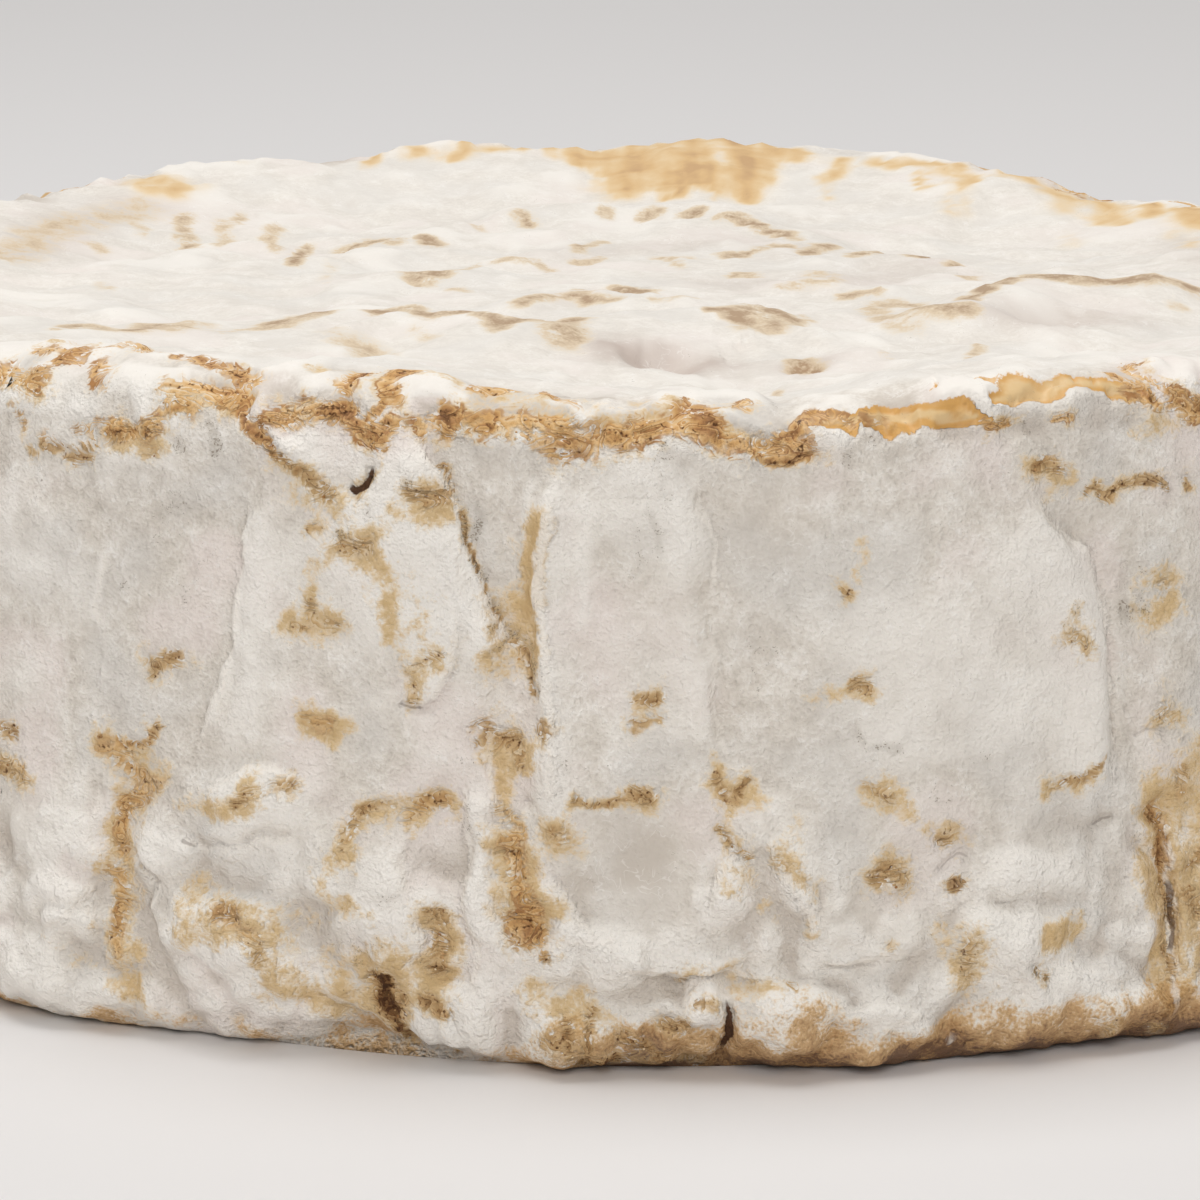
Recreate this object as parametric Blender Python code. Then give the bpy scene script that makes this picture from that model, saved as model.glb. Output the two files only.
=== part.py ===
"""A whole, ripened Camembert: one wheel with a raised rim, a sunken top and a folded, puffy side.

Metres, +Z up. The origin is the middle of the flat base. An angle on the wheel is measured in
degrees from the front (-Y) towards +X, and a place on the wall is written (angle, height).
The wheel is a turned profile, pushed in and out by its folds, swells, dimples and wrinkles.
"""

import math
import random

import bpy
import numpy as np

MM = 0.001

# The wheel
RADIUS = 53.0 * MM
RIM_HEIGHT = 33.0 * MM
DISH_DEPTH = 2.1 * MM  # how far the middle of the top has sunk below the rim
DISH_RADIUS = 33.0 * MM  # where the sunken floor meets the rim's inner slope
LEDGE = 1.1 * MM  # the highest line of the rim lies this far inside its rounded shoulder
LIFTED_FROM = 0.35  # share of the dish's radius inside which the rim's unevenness is gone
SHOULDER = 2.3 * MM  # radius of the rim's outer edge, where nothing widens it
FOOT = 2.1 * MM  # radius of the edge where the wall turns under
FOOT_REACH = 2.5 * FOOT  # how high the foot's unevenness is felt
FLAT_BASE = 0.001 * MM  # what lies lower than this is the flat base
BELLY = 0.9 * MM  # how far the lower half of the wall bulges past the upper half
BELLY_HEIGHT = 9.0 * MM
BELLY_SPREAD = 8.0 * MM
SPREAD_REACH = 11.0 * MM  # how high the spreading of the foot is felt
SET_BACK = 0.4 * MM  # the smooth wall lies this far inside the radius, so that its swells reach it

# Out of round: waves round the wheel as (how many, share of the radius, start in degrees), and the
# side that lies flatter as (angle, spread in degrees, share of the radius)
ROUND_WAVES = [(2, 0.006, 35.0), (3, 0.004, 120.0), (7, 0.002, 57.0)]
FLAT_SIDE = (137.0, 16.0, 0.020)
# The rim's height: waves round the wheel as (how many, height in mm, start in degrees), and rises
# and sags as (angle, spread in degrees, height in mm)
RIM_WAVES = [(4, 0.25, 30.0), (9, 0.18, -50.0)]
RIM_RISES = [(-33, 9, 0.95), (-15, 9, 1.0), (8, 6, -0.65), (30, 9, 0.6), (172, 22, 0.8), (137, 13, -1.5)]
RIM_RISES += [(-165, 5, 0.5), (-177, 4, -0.35), (149, 7, 0.5), (123, 7, -1.0), (-118, 8, 0.35)]
# Where the shoulder is rounder, as (angle, spread in degrees, added radius in mm)
SHOULDER_WIDTHS = [(-33, 9, 1.4), (-15, 7, 0.8), (80, 15, 0.8), (150, 12, 0.5), (-120, 20, 1.0)]
# Where the soft foot has spread or drawn in, as (angle, spread in degrees, mm outwards)
FOOT_SPREADS = [(30, 8, 1.9), (11, 8, 0.9), (-36, 8, 1.6), (-15.5, 4, -0.9)]
FOOT_SPREADS += [(75, 20, 1.0), (118, 14, 0.6), (170, 25, 1.1), (-140, 15, -0.4), (-95, 22, 1.2)]

# The mesh: columns round the wheel, closer together on the front
FRONT_HALF_ANGLE = 38.0
FRONT_COLUMNS = 64
REST_COLUMNS = 104
WALL_ROWS = 13
EDGE_ROWS = 3  # rows that turn each rounded edge
SLOPE_ROWS = 6
FLOOR_RINGS = (30.6, 28.2, 25.8, 23.4, 21, 18.6, 16.2, 13.8, 11.4, 9, 6, 2.8)  # radii in mm
HALVE_BELOW = (27.0 * MM, 15.0 * MM, 7.0 * MM)  # inside each radius the rings have half the columns
SHARP_ANGLE = 50.0

# Each fold: its line down the wall as (angle, height in mm), the width of its edge, how far the
# skin laps over it and to which side (+1 laps towards larger angles, -1 towards smaller ones)
LAPS = [
    ([(-21.5, 29), (-22.2, 24), (-22.6, 19), (-24.5, 15)], 1.2, 0.55, 1),
    ([(-31.0, 27), (-31.4, 21), (-30.8, 15)], 1.3, 0.45, -1),
    ([(-13.0, 32), (-10.5, 28), (-9.0, 24), (-6.6, 20)], 1.2, 0.60, -1),
    ([(2.4, 30), (3.0, 24), (3.7, 17), (3.9, 15)], 1.2, 0.45, -1),
    ([(20.0, 29), (23.0, 25), (25.2, 20), (25.4, 11)], 1.3, 0.60, -1),
    ([(3.2, 14), (5.0, 11), (6.8, 8), (8.2, 5.5)], 1.2, 0.60, 1),
    ([(31.5, 30), (32.0, 20), (31.0, 9)], 1.3, 0.50, 1),
]
# Each ridge or groove: its line, half width in mm, height in mm (negative is a groove)
RIDGES = [
    ([(-4.7, 31), (-5.3, 24), (-4.8, 18), (-5.0, 11)], 1.1, 0.55),
    ([(-6.9, 29), (-6.6, 22), (-7.4, 14), (-6.6, 8)], 1.5, -0.55),
    ([(-27.0, 33), (-24.0, 32), (-20.5, 30.5), (-17.3, 28)], 1.1, 0.50),
    ([(-29.6, 15), (-28.6, 13), (-29.8, 9), (-29.2, 4)], 1.6, -0.60),
    ([(-10.5, 16), (-10.8, 9), (-11.2, 3)], 1.4, -0.50),
    ([(28.2, 13), (28.6, 8), (28.3, 2)], 1.4, -0.70),
    ([(-2.0, 5.6), (2.0, 5.3), (8.0, 5.6), (14.0, 5.2)], 1.2, -0.50),
]
# Each swell: its middle, half width and half height in mm, how far it stands out, and its lean
SWELLS = [
    ((-21.5, 12.6), 4.6, 2.3, 0.75, 12.0),
    ((-14.5, 8.0), 4.2, 5.5, 0.95, -8.0),
    ((-23.0, 5.5), 5.0, 3.6, 0.90, 0.0),
    ((-33.5, 8.5), 4.4, 5.5, 0.80, 0.0),
    ((-14.0, 24.5), 3.6, 6.4, 0.50, -10.0),
    ((-0.8, 10.5), 4.6, 4.2, -0.60, 0.0),
    ((6.0, 3.4), 7.5, 1.7, 0.75, 0.0),
    ((14.5, 19.0), 8.6, 10.5, 0.55, 0.0),
    ((19.5, 7.6), 5.6, 3.6, 0.70, 6.0),
    ((12.0, 8.5), 3.0, 3.4, -0.45, 0.0),
]
# Notches under the foot: angle, half width in mm, how far the edge lifts in mm
NOTCHES = [(3.0, 2.6, 0.6), (24.8, 1.6, 0.3), (-15.5, 4.2, 0.9), (62.0, 3.5, 0.8), (-96.0, 3.0, 0.9)]
# The top, in plan: each ridge's line as (x, y) in mm, its reach on the line's right-hand side and on
# its left, and its height in mm
TOP_RIDGES = [
    ([(-38, -21), (-31.5, -24), (-26.5, -23), (-19, -20.5), (-16, -17), (-13, -17.5), (-9.5, -20), (-7, -22),
      (-4, -22), (0, -17), (4, -16), (8, -17.5), (12, -21)], 6.5, 4.5, 1.25),
    ([(13, -20), (17.5, -13.5), (19.5, -9), (22.5, -3.5), (26, -4), (30, -5.5), (35, -8)], 8.0, 4.0, 1.15),
    ([(-20, 13), (-16, 18), (-11, 25), (-4, 30), (5, 30.5), (10, 23), (14, 20)], 2.2, 1.8, 0.6),
    ([(-17, 2.5), (-13.8, 3.8), (-11, 3.6), (-9, 8)], 2.0, 1.8, 0.5),
    ([(-9, -10), (-7, -8), (-5.5, -5.5), (-3.5, -4.5), (-1.4, -6), (1, -7), (5, -7.5)], 2.2, 1.8, 0.6),
    ([(9, 9), (13, 12), (15, 13.5), (17.5, 12), (20, 9)], 2.0, 1.8, 0.6),
    ([(6, -2), (10, 0), (13, -2), (16.5, -4)], 2.0, 1.8, 0.5),
]
# Each dimple of the top: its middle (x, y), half length, half width and depth in mm, and its turn
DIMPLES = [
    ((0.8, -27), 2.8, 3.2, 1.1, 0),
    ((8.3, -29.3), 1.6, 1.6, 0.8, 0),
    ((22.8, -14.5), 4.8, 3.8, 0.8, 0),
    ((-22, -33), 6.5, 4.0, 0.5, -15),
    ((-14, 10), 7.0, 4.0, 0.5, 10),
    ((17, 22), 6.0, 5.0, 0.6, 40),
]
# Ring wrinkles of the sunken top, in mm: their spacing, height, how far they wander in and out as
# waves of (how many, reach, start in degrees), and the radii between which they show
RING_SPACING = 7.4
RING_HEIGHT = 0.26
RING_WANDER = [(2, 2.0, 20.0), (5, 1.2, 70.0)]
RINGS_FROM, RINGS_TO = 6.0, 41.0
RING_EASE = 7.0
TOP_EASE = 9.0 * MM  # the top's relief fades out over this width towards the rim
HIDDEN_FROM = 42.0  # degrees from the front past which the folds are laid out by rule
SEED = 7


def smooth(t):
    """0 below 0, 1 above 1, and a smooth ramp between."""
    t = np.clip(t, 0.0, 1.0)
    return t * t * (3.0 - 2.0 * t)


def turned(angle):
    """An angle brought into -180 to 180 degrees."""
    return (angle + 180.0) % 360.0 - 180.0


def on_wall(angle, height, middle):
    """Places on the wall as flat coordinates in mm, unrolled round the angle given as its middle."""
    return np.stack([np.radians(turned(angle - middle)) * RADIUS / MM, height], -1)


def from_line(places, line):
    """How far each place is from a line of points, on which side (+ is its right hand), and how far along."""
    line = np.asarray(line, float)
    length = np.hypot(*np.diff(line, axis=0).T)
    start = np.concatenate([[0.0], np.cumsum(length)])
    nearest = np.full(len(places), np.inf)
    side = np.zeros(len(places))
    share = np.zeros(len(places))
    for a, b, span, before in zip(line[:-1], line[1:], length, start):
        along = (b - a) / span
        offset = places - a
        t = np.clip(offset @ along, 0.0, span)
        gap = offset - t[:, None] * along
        distance = np.hypot(*gap.T)
        closer = distance < nearest
        nearest[closer] = distance[closer]
        turn = along[1] * offset[:, 0] - along[0] * offset[:, 1]
        side[closer] = np.sign(turn[closer])
        share[closer] = (before + t[closer]) / start[-1]
    return nearest, side, share


def fading(share):
    """A line's strength along it: full in the middle, and gone at both ends."""
    end = 0.18
    return smooth(share / end) * smooth((1.0 - share) / end)


def waves(angle, parts):
    """The sum of waves round the wheel, each given as (how many, height, start in degrees)."""
    return sum(height * np.sin(np.radians(count * angle + start)) for count, height, start in parts)


def ridge(places, line, half_width, height):
    distance, _, share = from_line(places, line)
    return height * np.exp(-((distance / half_width) ** 2)) * fading(share)


def lap(places, line, width, height, side):
    """Skin that laps over itself: a sharp edge along the line, easing away on one side of it."""
    ease = 4.0 * width
    pinch = 0.35
    distance, hand, share = from_line(places, line)
    out = distance * hand * -side
    raised = smooth(out / width) * np.exp(-np.maximum(out, 0.0) / ease)
    pinched = pinch * np.exp(-((distance / width) ** 2))
    return height * (raised - pinched) * fading(share)


def uneven_ridge(places, line, right_reach, left_reach, height):
    """A ridge that falls away over a different distance on each side."""
    distance, hand, share = from_line(places, line)
    reach = np.where(hand > 0, right_reach, left_reach)
    return height * np.exp(-((distance / reach) ** 2)) * fading(share)


def bumps(angle, parts):
    """The sum of rises round the wheel, each given as (angle, spread in degrees, height)."""
    return sum(height * np.exp(-((turned(angle - middle) / spread) ** 2)) for middle, spread, height in parts)


def shoulder(angle):
    """The radius of the rim's outer edge at an angle."""
    return SHOULDER + bumps(angle, SHOULDER_WIDTHS) * MM


def swell(places, middle, half_width, half_height, height, lean):
    turn = math.radians(lean)
    x, y = (places - np.asarray(middle, float)).T
    across = x * math.cos(turn) + y * math.sin(turn)
    up = y * math.cos(turn) - x * math.sin(turn)
    reach = np.clip(1.0 - (across / half_width) ** 2 - (up / half_height) ** 2, 0.0, 1.0)
    return height * reach**1.5


def hidden_folds():
    """Folds, laps and swells for the sides and the back, spaced as unevenly as those on the front."""
    draw = random.Random(SEED)
    laps, ridges, swells = [], [], []
    angle = HIDDEN_FROM
    while angle < 360.0 - HIDDEN_FROM:
        top, foot = draw.uniform(26, 31), draw.uniform(10, 17)
        lean = draw.uniform(-3.5, 3.5)
        line = [(angle, top), (angle + lean, (top + foot) / 2), (angle + 1.6 * lean, foot)]
        laps.append((line, draw.uniform(1.1, 1.4), draw.uniform(0.35, 0.65), draw.choice((-1, 1))))
        low = angle + draw.uniform(2.0, 7.0)
        bend = draw.uniform(-1.5, 1.5)
        line = [(low, draw.uniform(13, 18)), (low + bend, 8.0), (low - bend, draw.uniform(2, 4))]
        ridges.append((line, draw.uniform(1.3, 1.7), draw.uniform(-0.7, -0.35)))
        middle = (angle + draw.uniform(3.0, 8.0), draw.uniform(4.5, 10.0))
        size = draw.uniform(3.6, 6.0), draw.uniform(2.4, 4.6)
        swells.append((middle, *size, draw.uniform(0.5, 0.95), draw.uniform(-15, 15)))
        middle = (angle + draw.uniform(4.0, 9.0), draw.uniform(17.0, 24.0))
        swells.append((middle, draw.uniform(5, 8), draw.uniform(5, 9), draw.uniform(-0.4, 0.5), 0.0))
        angle += draw.uniform(9.0, 15.0)
    return laps, ridges, swells


HIDDEN_LAPS, HIDDEN_RIDGES, HIDDEN_SWELLS = hidden_folds()


def wall_relief(angle, height):
    """How far the wall stands out at these places, in metres. It eases away towards rim and foot."""
    out = np.zeros(len(angle))
    kinds = ((lap, LAPS + HIDDEN_LAPS), (ridge, RIDGES + HIDDEN_RIDGES))
    for shape, folds in kinds:
        for line, *sizes in folds:
            middle = line[0][0]
            places = on_wall(angle, height / MM, middle)
            flat = [(math.radians(a - middle) * RADIUS / MM, z) for a, z in line]
            out += shape(places, flat, *sizes)
    for (middle, z), *sizes in SWELLS + HIDDEN_SWELLS:
        out += swell(on_wall(angle, height / MM, middle), (0.0, z), *sizes)
    edge = 1.2
    return out * MM * smooth(height / (edge * FOOT)) * smooth((RIM_HEIGHT - height) / (edge * shoulder(angle)))


def top_relief(x, y):
    """How far the top stands up at these places, in metres: ridges, dimples and ring wrinkles."""
    places = np.stack([x, y], -1) / MM
    up = np.zeros(len(x))
    for line, *sizes in TOP_RIDGES:
        up += uneven_ridge(places, line, *sizes)
    for middle, half_length, half_width, depth, turn in DIMPLES:
        up += swell(places, middle, half_length, half_width, -depth, turn)
    radius = np.hypot(x, y) / MM
    around = np.degrees(np.arctan2(x, -y))
    rings = np.sin(2 * math.pi * (radius + waves(around, RING_WANDER)) / RING_SPACING)
    patchy = 0.5 + 0.5 * np.sin(np.radians(3 * around - 40)) * np.sin(np.radians(around + 120))
    shown = smooth((radius - RINGS_FROM) / RING_EASE) * smooth((RINGS_TO - radius) / RING_EASE)
    return (up + RING_HEIGHT * rings * patchy * shown) * MM


def out_of_round(angle):
    """The wheel's radius at an angle, as a share of its nominal one."""
    middle, spread, share = FLAT_SIDE
    return 1.0 + waves(angle, ROUND_WAVES) - share * np.exp(-((turned(angle - middle) / spread) ** 2))


def foot_spread(angle, height):
    """How far the foot of the wall has spread outwards at these places."""
    return bumps(angle, FOOT_SPREADS) * MM * smooth(1.0 - height / SPREAD_REACH)


def rim_lift(angle):
    """How far the rim stands above its nominal height at an angle."""
    return (waves(angle, RIM_WAVES) + bumps(angle, RIM_RISES)) * MM


def foot_lift(angle):
    """How far the edge of the base lifts off the board at an angle."""
    lift = np.zeros_like(angle)
    for middle, half_width, height in NOTCHES:
        arc = np.radians(turned(angle - middle)) * RADIUS / MM
        lift += height * np.exp(-((arc / half_width) ** 2))
    return lift * MM


def profile(angle):
    """The turned half section from the base's edge to the floor of the dish, at each of these angles.

    One (radius, height) for each ring of the mesh, each an array with a value for every angle.
    """
    one = np.ones(len(angle))
    places = [((RADIUS - FOOT) * one, 0.0 * one)]
    for row in range(1, EDGE_ROWS + 1):
        turn = math.radians(90.0 * row / EDGE_ROWS)
        places.append(((RADIUS - FOOT + FOOT * math.sin(turn)) * one, (FOOT - FOOT * math.cos(turn)) * one))
    edge = shoulder(angle)
    top = RIM_HEIGHT - edge
    for row in range(1, WALL_ROWS + 1):
        places.append((RADIUS * one, FOOT + (top - FOOT) * row / WALL_ROWS))
    for row in range(1, EDGE_ROWS + 1):
        turn = math.radians(90.0 * row / EDGE_ROWS)
        places.append((RADIUS - edge + edge * math.cos(turn), top + edge * math.sin(turn)))
    crest = RADIUS - edge - LEDGE
    for row in range(1, SLOPE_ROWS + 1):
        inwards = row / SLOPE_ROWS
        depth = DISH_DEPTH * float(smooth(inwards))
        places.append((crest + (DISH_RADIUS - crest) * inwards, (RIM_HEIGHT - depth) * one))
    places += [(ring * MM * one, (RIM_HEIGHT - DISH_DEPTH) * one) for ring in FLOOR_RINGS]
    return places


def columns():
    """The angles of the mesh's columns, in degrees."""
    front = np.linspace(-FRONT_HALF_ANGLE, FRONT_HALF_ANGLE, FRONT_COLUMNS, endpoint=False)
    rest = np.linspace(FRONT_HALF_ANGLE, 360.0 - FRONT_HALF_ANGLE, REST_COLUMNS, endpoint=False)
    return np.concatenate([front, rest])


def ring_places(angle, radius, height, on_top):
    """The points of one ring of the profile, after the wheel's shape has pushed them."""
    out, z = radius.copy(), height.copy()
    based = height.max() < FLAT_BASE
    if not based and not on_top:
        belly = BELLY * np.exp(-(((z - BELLY_HEIGHT) / BELLY_SPREAD) ** 2)) * smooth(z / FOOT)
        out += belly + wall_relief(angle, z) + foot_spread(angle, z) - SET_BACK
    out *= out_of_round(angle)
    turn = np.radians(angle)
    x, y = out * np.sin(turn), -out * np.cos(turn)
    lifted = smooth(radius / DISH_RADIUS - LIFTED_FROM)  # the floor of the dish stays level
    z += rim_lift(angle) * smooth(z / RIM_HEIGHT) * lifted
    if not based:
        z += foot_lift(angle) * smooth(1.0 - z / FOOT_REACH)
    if on_top:
        z += top_relief(x, y) * smooth((RADIUS - radius) / TOP_EASE)
    return np.stack([x, y, z], -1)


def bridge(outer, inner):
    """Faces between two rings that climb the wheel: as many points in both, or half as many in the second."""
    faces = []
    many, few = len(outer), len(inner)
    for i in range(few):
        after = (i + 1) % few
        if many == few:
            faces.append((outer[i], outer[after], inner[after], inner[i]))
        else:
            left, middle, right = outer[2 * i], outer[2 * i + 1], outer[(2 * i + 2) % many]
            faces += [(left, middle, inner[i]), (middle, inner[after], inner[i]), (middle, right, inner[after])]
    return faces


def wheel_mesh():
    angles = columns()
    points, faces, rings = [], [], []
    rim_rings = 1 + EDGE_ROWS + WALL_ROWS + EDGE_ROWS  # the rings from the base's edge to the rim's top
    for radius, height in profile(angles):
        on_top = len(rings) >= rim_rings
        halvings = sum(radius.mean() < limit for limit in HALVE_BELOW) if on_top else 0
        step = 2**halvings
        first = len(points)
        points += ring_places(angles[::step], radius[::step], height[::step], on_top).tolist()
        rings.append(list(range(first, len(points))))
        if len(rings) > 1:
            faces += bridge(rings[-2], rings[-1])
    middle = len(points)
    points.append((0.0, 0.0, np.mean([points[i][2] for i in rings[-1]])))
    last = rings[-1]
    faces += [(last[i], last[(i + 1) % len(last)], middle) for i in range(len(last))]
    faces.append(tuple(reversed(rings[0])))
    mesh = bpy.data.meshes.new("camembert_wheel")
    mesh.from_pydata(points, [], faces)
    mesh.validate()
    mesh.shade_smooth()
    mesh.set_sharp_from_angle(angle=math.radians(SHARP_ANGLE))
    return mesh


def rind():
    """The white mould rind, seen all over."""
    material = bpy.data.materials.new("white_mould_rind")
    material.use_nodes = True
    shader = material.node_tree.nodes["Principled BSDF"]
    shader.inputs["Base Color"].default_value = (0.78, 0.74, 0.68, 1.0)
    shader.inputs["Roughness"].default_value = 0.85
    shader.inputs["Metallic"].default_value = 0.0
    return material


def main():
    for old in list(bpy.data.objects):
        bpy.data.objects.remove(old)
    mesh = wheel_mesh()
    mesh.materials.append(rind())
    wheel = bpy.data.objects.new("camembert_wheel", mesh)
    bpy.context.scene.collection.objects.link(wheel)


main()
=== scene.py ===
"""A whole ripened camembert wheel under soft studio light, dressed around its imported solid.

Metres, +Z up; sizes written in mm are multiplied by MM. An angle on the wheel is in degrees from
the front (-Y) towards +X. A place on the rind is (angle, reach): reach is the way in mm from the
board up the wall and on over the rim. A place on the sunken top is (x, y) in mm.
"""

import math
import random

import bpy
import numpy as np
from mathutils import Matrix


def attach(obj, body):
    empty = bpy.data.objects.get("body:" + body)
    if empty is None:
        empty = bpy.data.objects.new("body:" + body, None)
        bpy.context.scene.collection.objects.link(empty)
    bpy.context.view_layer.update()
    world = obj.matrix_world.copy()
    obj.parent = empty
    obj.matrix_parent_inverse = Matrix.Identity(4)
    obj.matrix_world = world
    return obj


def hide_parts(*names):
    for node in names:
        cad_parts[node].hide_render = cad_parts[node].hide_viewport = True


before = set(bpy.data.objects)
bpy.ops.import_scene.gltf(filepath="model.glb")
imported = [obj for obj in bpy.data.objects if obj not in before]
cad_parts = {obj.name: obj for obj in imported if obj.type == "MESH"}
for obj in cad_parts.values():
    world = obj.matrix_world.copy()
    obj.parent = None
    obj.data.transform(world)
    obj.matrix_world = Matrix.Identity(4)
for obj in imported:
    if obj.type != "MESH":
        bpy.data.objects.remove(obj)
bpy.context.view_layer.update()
MM = 0.001

# The camera
# It looks at the front from a little above, so near that both sides of the wheel run out of view.
CAMERA_PLACE = (-2.5 * MM, -257.2 * MM, 68.5 * MM)
LOOKING_DOWN = 12.36  # degrees below level
CAMERA_LENS = 132.1
SENSOR_WIDTH = 36


def added(name, data):
    """Puts data into the scene as an object."""
    made = bpy.data.objects.new(name, data)
    bpy.context.scene.collection.objects.link(made)
    return made


camera = added("camera", bpy.data.cameras.new("camera"))
camera.location = CAMERA_PLACE
camera.rotation_euler = (math.radians(90 - LOOKING_DOWN), 0, 0)
camera.data.sensor_width = SENSOR_WIDTH
camera.data.lens = CAMERA_LENS
camera.data.clip_start = 0.01
bpy.context.scene.camera = camera


# The wheel's form
# Curd that sank and spread in a round mould: a turned section with a raised rim round a sunken top,
# pushed in and out by the folds of its skin, its puffy lower side and the ring wrinkles of the top.
RADIUS = 53.0
RIM_HEIGHT = 33.0
DISH_DEPTH = 2.1
DISH_RADIUS = 33.0
LEDGE = 1.1  # the crest of the rim, inwards of its rounded shoulder
SHOULDER = 2.3
SHOULDER_WIDTHS = [(-33, 9, 1.4), (-15, 7, 0.8), (80, 15, 0.8), (150, 12, 0.5), (-120, 20, 1.0)]
FOOT = 2.1
FOOT_REACH = 2.5 * FOOT
BELLY = 0.9
BELLY_HEIGHT = 9.0
BELLY_SPREAD = 8.0
SPREAD_REACH = 11.0
SET_BACK = 0.4
LIFTED_FROM = 0.35
ROUND_WAVES = [(2, 0.006, 35.0), (3, 0.004, 120.0), (7, 0.002, 57.0)]
FLAT_SIDE = [(137.0, 16.0, 0.020)]
RIM_WAVES = [(4, 0.25, 30.0), (9, 0.18, -50.0)]
RIM_RISES = [(-33, 9, 0.95), (-15, 9, 1.0), (8, 6, -0.65), (30, 9, 0.6), (172, 22, 0.8), (137, 13, -1.5)]
RIM_RISES += [(-165, 5, 0.5), (-177, 4, -0.35), (149, 7, 0.5), (123, 7, -1.0), (-118, 8, 0.35)]
FOOT_SPREADS = [(30, 8, 1.9), (11, 8, 0.9), (-36, 8, 1.6), (-15.5, 4, -0.9)]
FOOT_SPREADS += [(75, 20, 1.0), (118, 14, 0.6), (170, 25, 1.1), (-140, 15, -0.4), (-95, 22, 1.2)]
NOTCHES = [(3.0, 2.6, 0.6), (24.8, 1.6, 0.3), (-15.5, 4.2, 0.9), (62.0, 3.5, 0.8), (-96.0, 3.0, 0.9)]
LAPS = [
    ([(-21.5, 29), (-22.2, 24), (-22.6, 19), (-24.5, 15)], 1.2, 0.55, 1),
    ([(-31, 27), (-31.4, 21), (-30.8, 15)], 1.3, 0.45, -1),
    ([(-13, 32), (-10.5, 28), (-9, 24), (-6.6, 20)], 1.2, 0.6, -1),
    ([(2.4, 30), (3, 24), (3.7, 17), (3.9, 15)], 1.2, 0.45, -1),
    ([(20, 29), (23, 25), (25.2, 20), (25.4, 11)], 1.3, 0.6, -1),
    ([(3.2, 14), (5, 11), (6.8, 8), (8.2, 5.5)], 1.2, 0.6, 1),
    ([(31.5, 30), (32, 20), (31, 9)], 1.3, 0.5, 1),
]
RIDGES = [
    ([(-4.7, 31), (-5.3, 24), (-4.8, 18), (-5, 11)], 1.1, 0.55),
    ([(-6.9, 29), (-6.6, 22), (-7.4, 14), (-6.6, 8)], 1.5, -0.55),
    ([(-27, 33), (-24, 32), (-20.5, 30.5), (-17.3, 28)], 1.1, 0.5),
    ([(-29.6, 15), (-28.6, 13), (-29.8, 9), (-29.2, 4)], 1.6, -0.6),
    ([(-10.5, 16), (-10.8, 9), (-11.2, 3)], 1.4, -0.5),
    ([(28.2, 13), (28.6, 8), (28.3, 2)], 1.4, -0.7),
    ([(-2, 5.6), (2, 5.3), (8, 5.6), (14, 5.2)], 1.2, -0.5),
]
SWELLS = [
    ((-21.5, 12.6), 4.6, 2.3, 0.75, 12),
    ((-14.5, 8), 4.2, 5.5, 0.95, -8),
    ((-23, 5.5), 5, 3.6, 0.9, 0),
    ((-33.5, 8.5), 4.4, 5.5, 0.8, 0),
    ((-14, 24.5), 3.6, 6.4, 0.5, -10),
    ((-0.8, 10.5), 4.6, 4.2, -0.6, 0),
    ((6, 3.4), 7.5, 1.7, 0.75, 0),
    ((14.5, 19), 8.6, 10.5, 0.55, 0),
    ((19.5, 7.6), 5.6, 3.6, 0.7, 6),
    ((12, 8.5), 3, 3.4, -0.45, 0),
]
TOP_RIDGES = [
    ([(-38, -21), (-31.5, -24), (-26.5, -23), (-19, -20.5), (-16, -17), (-13, -17.5), (-9.5, -20),
      (-7, -22), (-4, -22), (0, -17), (4, -16), (8, -17.5), (12, -21)], 6.5, 4.5, 1.25),
    ([(13, -20), (17.5, -13.5), (19.5, -9), (22.5, -3.5), (26, -4), (30, -5.5), (35, -8)], 8, 4, 1.15),
    ([(-20, 13), (-16, 18), (-11, 25), (-4, 30), (5, 30.5), (10, 23), (14, 20)], 2.2, 1.8, 0.6),
    ([(-17, 2.5), (-13.8, 3.8), (-11, 3.6), (-9, 8)], 2, 1.8, 0.5),
    ([(-9, -10), (-7, -8), (-5.5, -5.5), (-3.5, -4.5), (-1.4, -6), (1, -7), (5, -7.5)], 2.2, 1.8, 0.6),
    ([(9, 9), (13, 12), (15, 13.5), (17.5, 12), (20, 9)], 2, 1.8, 0.6),
    ([(6, -2), (10, 0), (13, -2), (16.5, -4)], 2, 1.8, 0.5),
]
DIMPLES = [
    ((0.8, -27), 2.8, 3.2, 1.1, 0),
    ((8.3, -29.3), 1.6, 1.6, 0.8, 0),
    ((22.8, -14.5), 4.8, 3.8, 0.8, 0),
    ((-22, -33), 6.5, 4, 0.5, -15),
    ((-14, 10), 7, 4, 0.5, 10),
    ((17, 22), 6, 5, 0.6, 40),
]
RING_SPACING = 7.4
RING_HEIGHT = 0.26
RING_WANDER = [(2, 2.0, 20.0), (5, 1.2, 70.0)]
RINGS_FROM, RINGS_TO = 6.0, 41.0
RING_EASE = 7.0
TOP_EASE = 9.0
LAP_EASE = 4.0  # how far a lap eases away, in its own widths
LAP_PINCH = 0.35
FOLD_SPAN = 20.0  # degrees a fold of the wall can run to either side
FADED_EDGE = 1.2  # the wall's folds fade out over this many radii of the foot and the shoulder
HIDDEN_FROM = 42.0  # degrees from the front past which the skin is laid out by rule
FOLD_SEED = 7


def smooth(t):
    t = np.clip(t, 0.0, 1.0)
    return t * t * (3.0 - 2.0 * t)


def turned(angle):
    """An angle brought into -180 to 180 degrees."""
    return (angle + 180.0) % 360.0 - 180.0


def waves(angle, parts):
    return sum(height * np.sin(np.radians(count * angle + start)) for count, height, start in parts)


def hump(distance, spread):
    """1 in the middle, falling off softly to either side."""
    return np.exp(-((distance / spread) ** 2))


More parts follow.
